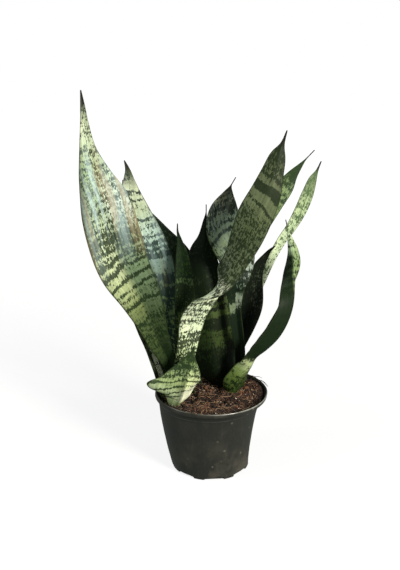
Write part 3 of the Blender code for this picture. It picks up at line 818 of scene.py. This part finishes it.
def smooth_route(stations, rows_per_span):
    """Rows on a smooth curve through the stations, their distances along it and its length."""
    table = np.array(stations, dtype=float)
    steps = np.linalg.norm(np.diff(table[:, :3], axis=0), axis=1)
    along = np.concatenate(([0.0], np.cumsum(steps)))
    slopes = np.gradient(table, along, axis=0)
    rows, places = [], []
    for i in range(len(table) - 1):
        span = along[i + 1] - along[i]
        last = i == len(table) - 2
        for k in range(rows_per_span + (1 if last else 0)):
            t = k / rows_per_span
            h00, h10 = 2 * t**3 - 3 * t**2 + 1, t**3 - 2 * t**2 + t
            h01, h11 = -2 * t**3 + 3 * t**2, t**3 - t**2
            rows.append(h00 * table[i] + h10 * span * slopes[i]
                        + h01 * table[i + 1] + h11 * span * slopes[i + 1])
            places.append((along[i] + t * span) / along[-1])
    return np.array(rows), np.array(places), along[-1]


def thickness_at(place, side):
    """Keel thickness falls from base to blade to tip, and towards both margins."""
    keel = np.interp(place, (0.0, 0.35, 0.9, 1.0),
                     (BASE_THICKNESS, BLADE_THICKNESS, 0.6 * BLADE_THICKNESS, TIP_THICKNESS))
    share = 1.0 - (1.0 - MARGIN_SHARE) * side * side
    return keel * (1.0 - place**8) * share + TIP_THICKNESS * place**8


def channel_lift(side):
    """Height of the blade's cross-section above its keel, 0 at the keel and 1 at a margin."""
    k = KEEL_ROUNDING
    return (math.sqrt(side * side + k * k) - k) / (math.sqrt(1.0 + k * k) - k)


def blade_point(row, tangent, side, place, length, look, settings):
    """Where the blade's middle surface passes, and its distances across and along, in mm.

    Side runs from -1 at one margin to 1 at the other, and place from 0 at the foot to 1.
    """
    x, y, z, width, facing, fold = row
    width, seed = max(width, TIP_WIDTH), look["seed"]
    facing, fold = math.radians(facing), math.radians(fold)
    across = tangent.cross(Vector((math.cos(facing), math.sin(facing), 0.0))).normalized()
    inward = across.cross(tangent)
    half, along = width / 2.0, place * length
    point = Vector((x, y, z))
    point += across * (half * math.cos(fold) * side)
    point += inward * (half * math.sin(fold) * channel_lift(side))
    if "wing" in look:
        middle, reach = look["wing"]
        near = max(0.0, 1.0 - abs(place - middle) / WING_SPAN)
        point += across * (reach * near**1.5 * max(0.0, side)**2)
    body = min(1.0, width / FULL_WIDTH)
    ripple = noise.noise(Vector((side * half * 0.55, along * 0.012, seed)))
    ripple += 0.6 * noise.noise(Vector((side * half * 1.3, along * 0.02, seed + 9.0)))
    point += inward * (ripple * 2.0 * settings.ripple / MM * body)
    waving = noise.noise(Vector((side * 0.6, along * 0.055, seed + 4.0)))
    point += inward * (waving * 2.0 * settings.flutter / MM * body * side * side)
    return point, side * half, along


def build_blade(node, stations, look, groups, settings):
    """A grid bent to the leaf's route, thickened, rounded and given its own banded skin."""
    name = node.replace("_leaf", "_blade")
    rows, places, length = smooth_route(rooted(stations), settings.rows_per_span)
    tangents = np.gradient(rows[:, :3], axis=0)
    deselect_all()
    bpy.ops.mesh.primitive_grid_add(x_subdivisions=settings.across,
                                    y_subdivisions=len(rows) - 1, size=2.0)
    piece = added(name)
    mesh = piece.data
    weights, blade = [], []
    for vert in mesh.vertices:
        side = vert.co.x
        index = round((vert.co.y + 1.0) / 2.0 * (len(rows) - 1))
        point, across, along = blade_point(rows[index], Vector(tangents[index]).normalized(),
                                           side, places[index], length, look, settings)
        vert.co = point * MM
        blade.extend((side, across * MM, along * MM))
        weights.append(thickness_at(places[index], side) / BASE_THICKNESS)
    mesh.attributes.new("blade", "FLOAT_VECTOR", "POINT").data.foreach_set("vector", blade)
    group = piece.vertex_groups.new(name="thickness")
    for index, value in enumerate(weights):
        group.add([index], value, "REPLACE")
    apply_modifier(piece, "SOLIDIFY", "body", thickness=BASE_THICKNESS * MM, offset=0.0,
                   vertex_group=group.name, thickness_vertex_group=0.0)
    apply_modifier(piece, "SUBSURF", "round", levels=1, render_levels=1)
    piece.vertex_groups.clear()
    make_active(piece)
    bpy.ops.object.shade_smooth()
    hand_over(piece, "leaf", blade_material(name, look, length * MM, groups, settings), node)


# ---------------------------------------------------------------- pot

def table_value(table, height):
    heights, values = zip(*table)
    return float(np.interp(height, heights, values))


def outer_radius(height):
    return table_value(POT_OUTSIDE, height)


def drift_piece(piece):
    """Move each ring of a turned piece sideways as far as the soft wall has settled."""
    for vert in piece.data.vertices:
        vert.co.x += table_value(POT_DRIFT, vert.co.z / MM) * MM


def pot_profile(settings):
    """Inside from the middle of the floor up, over the rolled lip and down the outside, in m."""
    wall = settings.wall / MM
    rim, top = settings.rim_radius / MM, settings.height / MM
    inside = [(8.0, wall), (20.0, wall), (outer_radius(0.0) - wall - 2.5, wall + 0.1),
              (outer_radius(4.0) - wall - 1.1, wall + 1.0)]
    inside += [(outer_radius(h) - wall, h)
               for h in (5.0, 18.0, 34.0, 50.0, 62.0, 67.0, 69.0, 71.0, 73.0, 75.0, 76.6, 78.0)]
    inside += [(rim - 2.6, 79.6), (rim - 1.9, 81.2), (rim - 1.6, 83.0)]
    lip = [(rim - 1.5, top - 0.7), (rim - 1.2, top - 0.25), (rim - 0.8, top), (rim - 0.4, top),
           (rim - 0.1, top - 0.35), (rim, top - 0.9), (rim, top - 1.9), (rim, top - 3.0),
           (rim - 0.1, top - 3.6)]
    outside = [(outer_radius(h), h) for h in (80.8, 80.2, 79.4, 78.6, 77.8, 77.0, 76.0, 75.0)]
    outside += [(outer_radius(74.4), 74.4), (outer_radius(73.9) + 0.3, 73.9),
                (outer_radius(73.2) + 0.3, 73.2), (outer_radius(72.7), 72.7)]
    outside += [(outer_radius(h), h) for h in (71.0, 69.0, 67.0, 60.0, 50.0, 40.0, 30.0, 20.0,
                                               10.0, 4.0, 1.6)]
    foot = outer_radius(0.0)
    outside += [(foot + 0.4, 0.7), (foot, 0.2), (foot - 0.6, 0.0), (foot - 5.0, 0.0),
                (foot - 5.6, 0.4), (20.0, 0.5), (12.0, 0.5), (11.4, 0.2), (6.0, 0.2), (0.0, 0.2)]
    return [(r * MM, z * MM) for r, z in inside + lip + outside]


def cut_notches(pot):
    """Drainage notches round the corner of the base, cut by one set of small blocks."""
    blocks = []
    reach = (outer_radius(0.0) - 0.2) * MM
    for index in range(NOTCHES):
        angle = math.radians(-90.0 + NOTCH_TURN + index * 360.0 / NOTCHES)
        deselect_all()
        bpy.ops.mesh.primitive_cube_add(
            size=1.0, scale=[side * MM for side in NOTCH_SIZE], rotation=(0.0, 0.0, angle),
            location=(reach * math.cos(angle) + POT_DRIFT[0][1] * MM,
                      reach * math.sin(angle), 0.0))
        block = added(f"notch_block_{index + 1}")
        apply_modifier(block, "BEVEL", "soft", width=NOTCH_ROUNDING * MM, segments=3)
        blocks.append(block)
    cutter = joined(blocks)
    apply_modifier(pot, "BOOLEAN", "notches", operation="DIFFERENCE", solver="EXACT",
                   object=cutter)
    bpy.data.objects.remove(cutter, do_unlink=True)


def plastic_material(settings):
    """Matt moulded plastic with scuffs, soil dust low down and on the lip, dried specks, and a
    painted highlight on the front right of the lip.
    """
    material, g, shader = new_material("dusty_plastic", 0.5)
    coords = g.node("TexCoord").outputs["Object"]
    x, y, z = g.split(coords)
    blotch = g.noise(coords, 38.0, 4.0, 0.6)
    grain = g.noise(coords, 900.0, 2.0, 0.6)
    smear = g.noise(g.vector(g.math("MULTIPLY", x, 160.0), g.math("MULTIPLY", y, 160.0),
                             g.math("MULTIPLY", z, 36.0)), 1.0, 3.0, 0.6)
    low = g.spread(z, 0.004, 0.045, 1.0, 0.2)
    dust = g.math("MULTIPLY", g.spread(blotch, 0.46, 0.78), low)
    dust = g.math("MULTIPLY_ADD", g.spread(smear, 0.56, 0.8), 0.25, dust)
    lip = g.math("MULTIPLY", g.spread(z, 0.081, 0.0848), g.spread(blotch, 0.42, 0.7, 0.05, 0.5))
    dust = g.math("MULTIPLY", g.math("ADD", dust, lip), settings.dusting)
    specks = g.node("TexVoronoi", feature="F1")
    specks.inputs["Scale"].default_value = 130.0
    g.feed(specks.inputs["Vector"], coords)
    gate = g.math("GREATER_THAN", g.noise(coords, 55.0, 1.0), 0.60)
    spot = g.math("MULTIPLY", g.spread(specks.outputs["Distance"], 0.08, 0.24, 0.5, 0.0), gate)
    scuff = g.spread(g.math("ABSOLUTE", g.math("SUBTRACT", smear, 0.5)), 0.0, 0.008, 0.14, 0.0)
    base = g.blend(g.spread(grain, 0.3, 0.7, 0.0, 0.12), rgba(settings.plastic),
                   rgba(tuple(min(1.0, c * 1.9) for c in settings.plastic)))
    base = g.blend(scuff, base, rgba(screen(96, 96, 90)))
    base = g.blend(dust, base, rgba(settings.dust))
    # painted highlight: a paler colour on the front right of the lip, where the key light glints
    wear_and_painted_highlight = g.math("MULTIPLY", g.spread(z, 0.0836, 0.0848), g.spread(x, -0.02, 0.035))
    wear_and_painted_highlight = g.math("MULTIPLY", wear_and_painted_highlight, g.spread(y, 0.0, -0.022))
    wear_and_painted_highlight = g.math("MULTIPLY", wear_and_painted_highlight, g.spread(smear, 0.3, 0.6, 0.25, 0.75))
    base = g.blend(wear_and_painted_highlight, base, rgba(screen(188, 188, 180)))
    g.feed(shader.inputs["Base Color"], g.blend(spot, base, rgba(screen(118, 112, 100))))
    rough = g.math("MULTIPLY_ADD", dust, 0.5, g.spread(blotch, 0.3, 0.7, 0.40, 0.54))
    rough = g.math("SUBTRACT", rough, g.spread(z, 0.0805, 0.0835, 0.0, 0.20))
    g.feed(shader.inputs["Roughness"], g.math("MULTIPLY_ADD", spot, 0.3, rough, clamp=True))
    height = g.math("MULTIPLY_ADD", grain, 0.6, g.math("MULTIPLY", smear, 0.3))
    bump(g, shader, g.math("MULTIPLY_ADD", spot, 1.2, height), 0.25, 0.12 * MM)
    return material


# ---------------------------------------------------------------- soil and litter

def soil_height(x, y):
    """Height of the soil's smooth surface above a point, in mm."""
    share = min(1.0, math.hypot(x, y) / SOIL_REACH)
    away = (x - MOUND_PLACE[0])**2 + (y - MOUND_PLACE[1])**2
    mound = MOUND_HEIGHT * math.exp(-away / (2.0 * MOUND_SPREAD**2))
    sunk = (SOIL_CROWN + SOIL_EDGE_DROP) * share**2.2
    heaped = HEAP_HEIGHT * max(0.0, (share - HEAP_START) / (1.0 - HEAP_START))
    return SOIL_LEVEL + SOIL_CROWN - sunk + heaped + mound


def lumps(x, y, settings):
    """Rise and fall of the crumbly surface about the smooth one, in mm."""
    size, height = settings.lump_size / MM, settings.lump_height / MM
    broad = noise.noise(Vector((x / (3.2 * size), y / (3.2 * size), 2.0)))
    lump = noise.turbulence(Vector((x / size, y / size, 5.0)), 4, False,
                            amplitude_scale=0.62, frequency_scale=2.1)
    calm = 1.0 - 0.7 * min(1.0, math.hypot(x, y) / SOIL_REACH)**8
    return height * calm * (0.45 * broad + 0.55 * lump - 0.25)


def painted_light_and_clump(g, coords, colour):
    """Painted light and shade: darker colour towards the front left of the pot and lighter towards
    the back right, with lighter colour round one dry clump.
    """
    x, y, z = g.split(coords)
    # painted light and shade: darker at the front left, lighter at the back right
    dry = g.spread(g.math("MULTIPLY_ADD", x, 0.7, y), -0.045, 0.035, 0.20, 1.30)
    across, back = g.math("SUBTRACT", x, CLUMP_PLACE[0]), g.math("SUBTRACT", y, CLUMP_PLACE[1])
    away = g.math("SQRT", g.math("MULTIPLY_ADD", across, across, g.math("MULTIPLY", back, back)))
    clump = g.spread(away, 0.006, 0.019, 1.35, 0.0)
    dry = g.math("MAXIMUM", dry, clump)
    return g.blend(1.0, colour, g.vector(dry, g.math("MULTIPLY", dry, 0.92),
                                         g.math("MULTIPLY", dry, 0.84)), "MULTIPLY")


def soil_material(settings):
    material, g, shader = new_material("coir_mix", 0.95)
    coords = g.node("TexCoord").outputs["Object"]
    broad = g.noise(coords, 90.0, 3.0, 0.6)
    grain = g.noise(coords, 900.0, 3.0, 0.65)
    colour = g.blend(g.spread(broad, 0.44, 0.58), rgba(settings.dark), rgba(settings.warm))
    colour = g.blend(g.spread(grain, 0.42, 0.6, 0.75, 0.0), colour,
                     rgba(tuple(c * 0.45 for c in settings.dark)))
    colour = g.blend(g.spread(grain, 0.6, 0.72, 0.0, 0.6), colour, rgba(screen(132, 86, 58)))
    g.feed(shader.inputs["Base Color"], painted_light_and_clump(g, coords, colour))
    bump(g, shader, g.math("MULTIPLY_ADD", broad, 0.4, grain), 0.9, 0.9 * MM)
    return material


def litter_material(name, first, second, roughness, with_painted_light=False):
    """Loose bits, each between two colours by its own tint, with fine grain."""
    material, g, shader = new_material(name, roughness)
    tint = g.node("Attribute", attribute_name="tint").outputs["Fac"]
    coords = g.node("TexCoord").outputs["Object"]
    grain = g.noise(coords, 1400.0, 2.0, 0.6)
    share = g.math("MULTIPLY_ADD", g.math("SUBTRACT", grain, 0.5), 0.7, tint, clamp=True)
    colour = g.blend(share, rgba(first), rgba(second))
    g.feed(shader.inputs["Base Color"], painted_light_and_clump(g, coords, colour) if with_painted_light else colour)
    bump(g, shader, grain, 0.5, 0.3 * MM)
    return material


def scatter(name, pattern, count, place_one):
    """Join copies of a small pattern mesh, each placed by place_one(index, its points)."""
    points = read_places(pattern.data)
    polygons = [list(p.vertices) for p in pattern.data.polygons]
    places, faces, tints = [], [], []
    for index in range(count):
        result = place_one(index, points.copy())
        if result is None:
            continue
        moved, tint = result
        start = len(places) * len(points)
        places.append(moved)
        faces.extend([[start + v for v in face] for face in polygons])
        tints.extend([tint] * len(points))
    bpy.data.objects.remove(pattern, do_unlink=True)
    mesh = bpy.data.meshes.new(name)
    mesh.from_pydata(np.concatenate(places).tolist(), [], faces)
    mesh.attributes.new("tint", "FLOAT", "POINT").data.foreach_set("value", tints)
    piece = bpy.data.objects.new(name, mesh)
    bpy.context.scene.collection.objects.link(piece)
    return piece


def random_spot(dice, reach):
    """Even pick on the soil's disc, in mm."""
    radius, angle = reach * math.sqrt(dice.random()), dice.uniform(0.0, 2.0 * math.pi)
    return radius * math.cos(angle), radius * math.sin(angle)


def random_turn(dice, flat=False):
    turn = Matrix.Rotation(dice.uniform(0.0, 2.0 * math.pi), 3, "Z")
    if flat:
        return Matrix.Rotation(dice.gauss(0.0, 0.25), 3, "X") @ turn
    axis = Vector((dice.gauss(0, 1), dice.gauss(0, 1), dice.gauss(0, 1))).normalized()
    return Matrix.Rotation(dice.uniform(0.0, math.pi), 3, axis) @ turn


def build_soil(settings):
    """A turned plug of soil whose top is divided finely and raised into lumps."""
    rings = [(SOIL_REACH * k / SOIL_RINGS, SOIL_LEVEL) for k in range(1, SOIL_RINGS + 1)]
    side = [(outer_radius(h) - SOIL_CLEAR, h) for h in (75.5, 72.0, 67.0, 40.0, 20.0)]
    side += [(outer_radius(SOIL_FOOT) - SOIL_CLEAR - 1.0, SOIL_FOOT), (0.0, SOIL_FOOT)]
    profile = [(r * MM, z * MM) for r, z in rings + side]
    piece = turned_piece("potting_mix", profile, SOIL_STEPS)
    select_verts(piece, lambda co: co.z > SOIL_TOP * MM)
    bpy.ops.mesh.subdivide(number_cuts=1)
    bpy.ops.object.mode_set(mode="OBJECT")
    for vert in piece.data.vertices:
        if vert.co.z > SOIL_TOP * MM:
            x, y = vert.co.x / MM, vert.co.y / MM
            vert.co.z = (soil_height(x, y) + lumps(x, y, settings)) * MM
    drift_piece(piece)
    smooth(piece, 60.0)
    hand_over(piece, "soil", soil_material(settings), "potting_soil")


def build_crumbs(settings):
    """Loose crumbs of peat and coir, strewn over the soil and so heaped a little along the wall.
    """
    dice = random.Random(41)
    for label, count, detail, small, large in (("fine", settings.crumbs, 1, 0.35, 0.9),
                                               ("coarse", settings.crumbs // 6, 2, 0.9, 1.9)):
        deselect_all()
        bpy.ops.mesh.primitive_ico_sphere_add(subdivisions=detail, radius=1.0)
        pattern = added("crumb")

        def place(index, points):
            x, y = random_spot(dice, CRUMB_REACH)
            size = dice.uniform(small, large)
            shape = np.array([dice.uniform(0.7, 1.3), dice.uniform(0.7, 1.3),
                              dice.uniform(0.5, 0.9)])
            rough = np.array([1.0 + 0.45 * noise.noise(Vector(p) * 1.7 + Vector((index, 0, 0)))
                              for p in points])[:, None]
            moved = points * rough * shape * size
            moved = moved @ np.array(random_turn(dice)).T
            rise = soil_height(x, y) + lumps(x, y, settings) + 0.25 * size
            return (moved + (x, y, rise)) * MM, dice.random() ** 1.6

        piece = scatter(f"soil_crumbs_{label}", pattern, count, place)
        smooth(piece, 45.0)
        hand_over(piece, "soil", litter_material(f"crumb_{label}", screen(34, 22, 16),
                                                 screen(112, 78, 56), 0.95, with_painted_light=True))


def build_fibres(settings):
    """Coir fibres: thin curved strands that lie over the surface."""
    dice = random.Random(57)
    deselect_all()
    bpy.ops.mesh.primitive_cylinder_add(vertices=4, radius=1.0, depth=1.0)
    pattern = added("fibre")
    select_verts(pattern, lambda co: True)
    for height in (-0.25, 0.0, 0.25):
        bpy.ops.mesh.select_all(action="SELECT")
        bpy.ops.mesh.bisect(plane_co=(0, 0, height), plane_no=(0, 0, 1))
    bpy.ops.object.mode_set(mode="OBJECT")

    def place(index, points):
        x, y = random_spot(dice, LITTER_REACH)
        length, thick = dice.uniform(3.5, 11.0), dice.uniform(0.10, 0.2)
        heading, bend = dice.uniform(0.0, 2.0 * math.pi), dice.gauss(0.0, 0.9)
        lift = dice.uniform(0.2, 1.2)
        moved = np.empty_like(points)
        for i, (px, py, pz) in enumerate(points):
            angle = heading + bend * pz
            cx = x + length * pz * math.cos(angle)
            cy = y + length * pz * math.sin(angle)
            if math.hypot(cx, cy) > FIBRE_LIMIT:
                return None
            cz = soil_height(cx, cy) + lumps(cx, cy, settings) * 0.6 + lift
            cz += 0.7 * math.cos(pz * math.pi)
            thin = thick * (1.0 - 1.2 * abs(pz))
            moved[i] = (cx - py * thin * math.sin(angle), cy + py * thin * math.cos(angle),
                        cz + px * thin)
        return moved * MM, dice.random()

    piece = scatter("coir_fibres", pattern, settings.fibres, place)
    smooth(piece, 60.0)
    hand_over(piece, "soil", litter_material("coir_fibre", screen(96, 58, 38),
                                             settings.fibre, 0.8))


def build_chips(settings):
    """Pale chips of bark and mineral, some standing proud."""
    dice = random.Random(73)
    deselect_all()
    bpy.ops.mesh.primitive_cube_add(size=2.0)
    pattern = added("chip")
    apply_modifier(pattern, "BEVEL", "wear_and_painted_highlight", width=0.35, segments=1)

    def place(index, points):
        x, y = random_spot(dice, LITTER_REACH)
        size = dice.uniform(0.35, 0.8)
        shape = np.array([dice.uniform(0.8, 2.0), dice.uniform(0.6, 1.0), dice.uniform(0.2, 0.5)])
        moved = points * shape * size
        moved = moved @ np.array(random_turn(dice, flat=True)).T
        rise = soil_height(x, y) + lumps(x, y, settings) + 0.8
        return (moved + (x, y, rise)) * MM, dice.random()

    piece = scatter("pale_chips", pattern, settings.chips, place)
    smooth(piece, 40.0)
    hand_over(piece, "soil", litter_material("pale_chip", screen(150, 118, 88),
                                             settings.chip, 0.7))


WISPS = (
    [(44, 30, 77), (49, 31, 84), (54, 26, 88), (58, 20, 86), (62, 14, 83)],
    [(40, 36, 78), (46, 36, 86), (52, 31, 89), (56, 27, 87)],
    [(47, 25, 77), (52, 24, 86), (56, 21, 89), (57, 16, 87), (61, 10, 84)],
    [(36, 40, 78), (41, 41, 86), (47, 37, 87), (50, 33, 85)],
)


def build_wisps():
    """Dry root strands that hang over the rim at the back right."""
    made = []
    for number, points in enumerate(WISPS):
        deselect_all()
        bpy.ops.curve.primitive_nurbs_path_add()
        curve = bpy.context.active_object
        spline = curve.data.splines[0]
        if len(spline.points) < len(points):
            spline.points.add(len(points) - len(spline.points))
        for index, point in enumerate(spline.points):
            x, y, z = points[min(index, len(points) - 1)]
            point.co = (x * MM, y * MM, z * MM, 1.0)
            point.radius = 1.0 - 0.15 * index
        curve.data.bevel_depth = 0.42 * MM
        curve.data.bevel_resolution = 1
        curve.data.resolution_u = 4
        curve.data.use_fill_caps = True
        bpy.ops.object.convert(target="MESH")
        made.append(added(f"wisp_{number + 1}"))
    piece = joined(made)
    piece.name = piece.data.name = "dry_root_wisps"
    make_active(piece)
    bpy.ops.object.shade_smooth()
    hand_over(piece, "soil", litter_material("dry_root", screen(44, 36, 28),
                                             screen(80, 62, 46), 0.8))


# ---------------------------------------------------------------- stage

def build_floor(settings):
    """A pale floor with an even light of its own, a little stronger further away."""
    deselect_all()
    bpy.ops.mesh.primitive_plane_add(size=FLOOR_SIZE, location=(0.0, 0.0, FLOOR_LEVEL))
    floor = added("floor")
    material, g, shader = new_material("pale_floor", 0.9)
    shader.inputs["Base Color"].default_value = rgba(settings.floor)
    shader.inputs["Specular IOR Level"].default_value = 0.0
    away = g.node("VectorMath", operation="LENGTH")
    g.feed(away.inputs[0], g.node("TexCoord").outputs["Object"])
    shader.inputs["Emission Color"].default_value = (1.0, 1.0, 1.0, 1.0)
    g.feed(shader.inputs["Emission Strength"],
           g.spread(away.outputs["Value"], 0.2, 1.5, settings.glow, FLOOR_FAR_GLOW))
    material.cycles.emission_sampling = "NONE"
    floor.data.materials.append(material)
    floor.visible_diffuse = False
    floor.visible_glossy = False


def add_area(name, lamp_table, power):
    """A round lamp that looks at the plant."""
    place, size, colour = lamp_table
    deselect_all()
    bpy.ops.object.light_add(type="AREA", location=place)
    lamp = bpy.context.active_object
    lamp.name = name
    lamp.data.shape = "DISK"
    lamp.data.size = size
    lamp.data.energy = power
    lamp.data.color = colour
    lamp.rotation_euler = (Vector(AIM) - Vector(place)).to_track_quat("-Z", "Y").to_euler()


def build_world(strength):
    """Soft light from all round, behind which the camera sees plain white."""
    world = bpy.data.worlds.new("studio")
    bpy.context.scene.world = world
    world.use_nodes = True
    g = Graph(world.node_tree)
    light = world.node_tree.nodes["Background"]
    light.inputs["Color"].default_value = SKY_COLOUR
    light.inputs["Strength"].default_value = strength
    seen = g.node("Background")
    seen.inputs["Color"].default_value = (1.0, 1.0, 1.0, 1.0)
    seen.inputs["Strength"].default_value = 1.0
    mix = g.node("MixShader")
    g.feed(mix.inputs[0], g.node("LightPath").outputs["Is Camera Ray"])
    g.feed(mix.inputs[1], light.outputs[0])
    g.feed(mix.inputs[2], seen.outputs[0])
    g.feed(world.node_tree.nodes["World Output"].inputs["Surface"], mix.outputs[0])


# ---------------------------------------------------------------- operators

class PLANT_OT_add_pot(bpy.types.Operator):
    """Add the nursery pot with its rolled lip, rings and drainage notches"""
    bl_idname = "plant.add_pot"
    bl_label = "Add pot"

    def execute(self, context):
        settings = context.scene.plant_pot
        piece = turned_piece("moulded_pot", pot_profile(settings), settings.steps)
        drift_piece(piece)
        cut_notches(piece)
        smooth(piece, 32.0)
        hand_over(piece, "pot", plastic_material(settings), "nursery_pot")
        return {"FINISHED"}


class PLANT_OT_add_soil(bpy.types.Operator):
    """Add the lumpy potting soil"""
    bl_idname = "plant.add_soil"
    bl_label = "Add soil"

    def execute(self, context):
        build_soil(context.scene.plant_soil)
        return {"FINISHED"}


class PLANT_OT_add_litter(bpy.types.Operator):
    """Add crumbs, coir fibres, chips and dry root strands to the soil"""
    bl_idname = "plant.add_litter"
    bl_label = "Add litter"

    def execute(self, context):
        settings = context.scene.plant_soil
        build_crumbs(settings)
        build_fibres(settings)
        build_chips(settings)
        build_wisps()
        return {"FINISHED"}


class PLANT_OT_add_leaves(bpy.types.Operator):
    """Add the thirteen leaves with their banded skins"""
    bl_idname = "plant.add_leaves"
    bl_label = "Add leaves"

    def execute(self, context):
        groups = blade_route_group(), blade_skin_group()
        for node, stations in LEAVES.items():
            build_blade(node, stations, LOOKS[node], groups, context.scene.plant_leaf)
        return {"FINISHED"}


class PLANT_OT_set_stage(bpy.types.Operator):
    """Add the floor, the lights and the camera"""
    bl_idname = "plant.set_stage"
    bl_label = "Set stage"

    def execute(self, context):
        settings = context.scene.plant_stage
        build_floor(settings)
        add_area("key", KEY_LAMP, settings.key)
        add_area("cool_side", SIDE_LAMP, settings.fill)
        build_world(settings.sky)
        deselect_all()
        bpy.ops.object.camera_add(
            location=CAMERA_PLACE,
            rotation=(math.radians(90.0) - settings.camera_tilt, 0.0, 0.0))
        camera = context.active_object
        camera.name = "camera"
        camera.data.sensor_width = CAMERA_SENSOR
        camera.data.lens = CAMERA_LENS
        context.scene.camera = camera
        context.scene.view_settings.view_transform = "Standard"
        return {"FINISHED"}


class PLANT_PT_sidebar(bpy.types.Panel):
    """Buttons and settings for the plant"""
    bl_idname = "PLANT_PT_sidebar"
    bl_label = "Snake plant"
    bl_space_type = "VIEW_3D"
    bl_region_type = "UI"
    bl_category = "Snake plant"

    def draw(self, context):
        scene = context.scene
        for settings, operators in (
                (scene.plant_pot, ("plant.add_pot",)),
                (scene.plant_soil, ("plant.add_soil", "plant.add_litter")),
                (scene.plant_leaf, ("plant.add_leaves",)),
                (scene.plant_stage, ("plant.set_stage",))):
            box = self.layout.box()
            for name in settings.__annotations__:
                box.prop(settings, name)
            for name in operators:
                box.operator(name)


SETTINGS = {"plant_pot": PotSettings, "plant_soil": SoilSettings, "plant_leaf": LeafSettings,
            "plant_stage": StageSettings}
CLASSES = (*SETTINGS.values(), PLANT_OT_add_pot, PLANT_OT_add_soil, PLANT_OT_add_litter,
           PLANT_OT_add_leaves, PLANT_OT_set_stage, PLANT_PT_sidebar)


def register():
    for cls in CLASSES:
        bpy.utils.register_class(cls)
    for name, group in SETTINGS.items():
        setattr(bpy.types.Scene, name, PointerProperty(type=group))


def unregister():
    for name in SETTINGS:
        delattr(bpy.types.Scene, name)
    for cls in reversed(CLASSES):
        bpy.utils.unregister_class(cls)


def main():
    register()
    bpy.ops.plant.add_pot()
    bpy.ops.plant.add_soil()
    bpy.ops.plant.add_litter()
    bpy.ops.plant.add_leaves()
    bpy.ops.plant.set_stage()


if __name__ == "__main__":
    main()
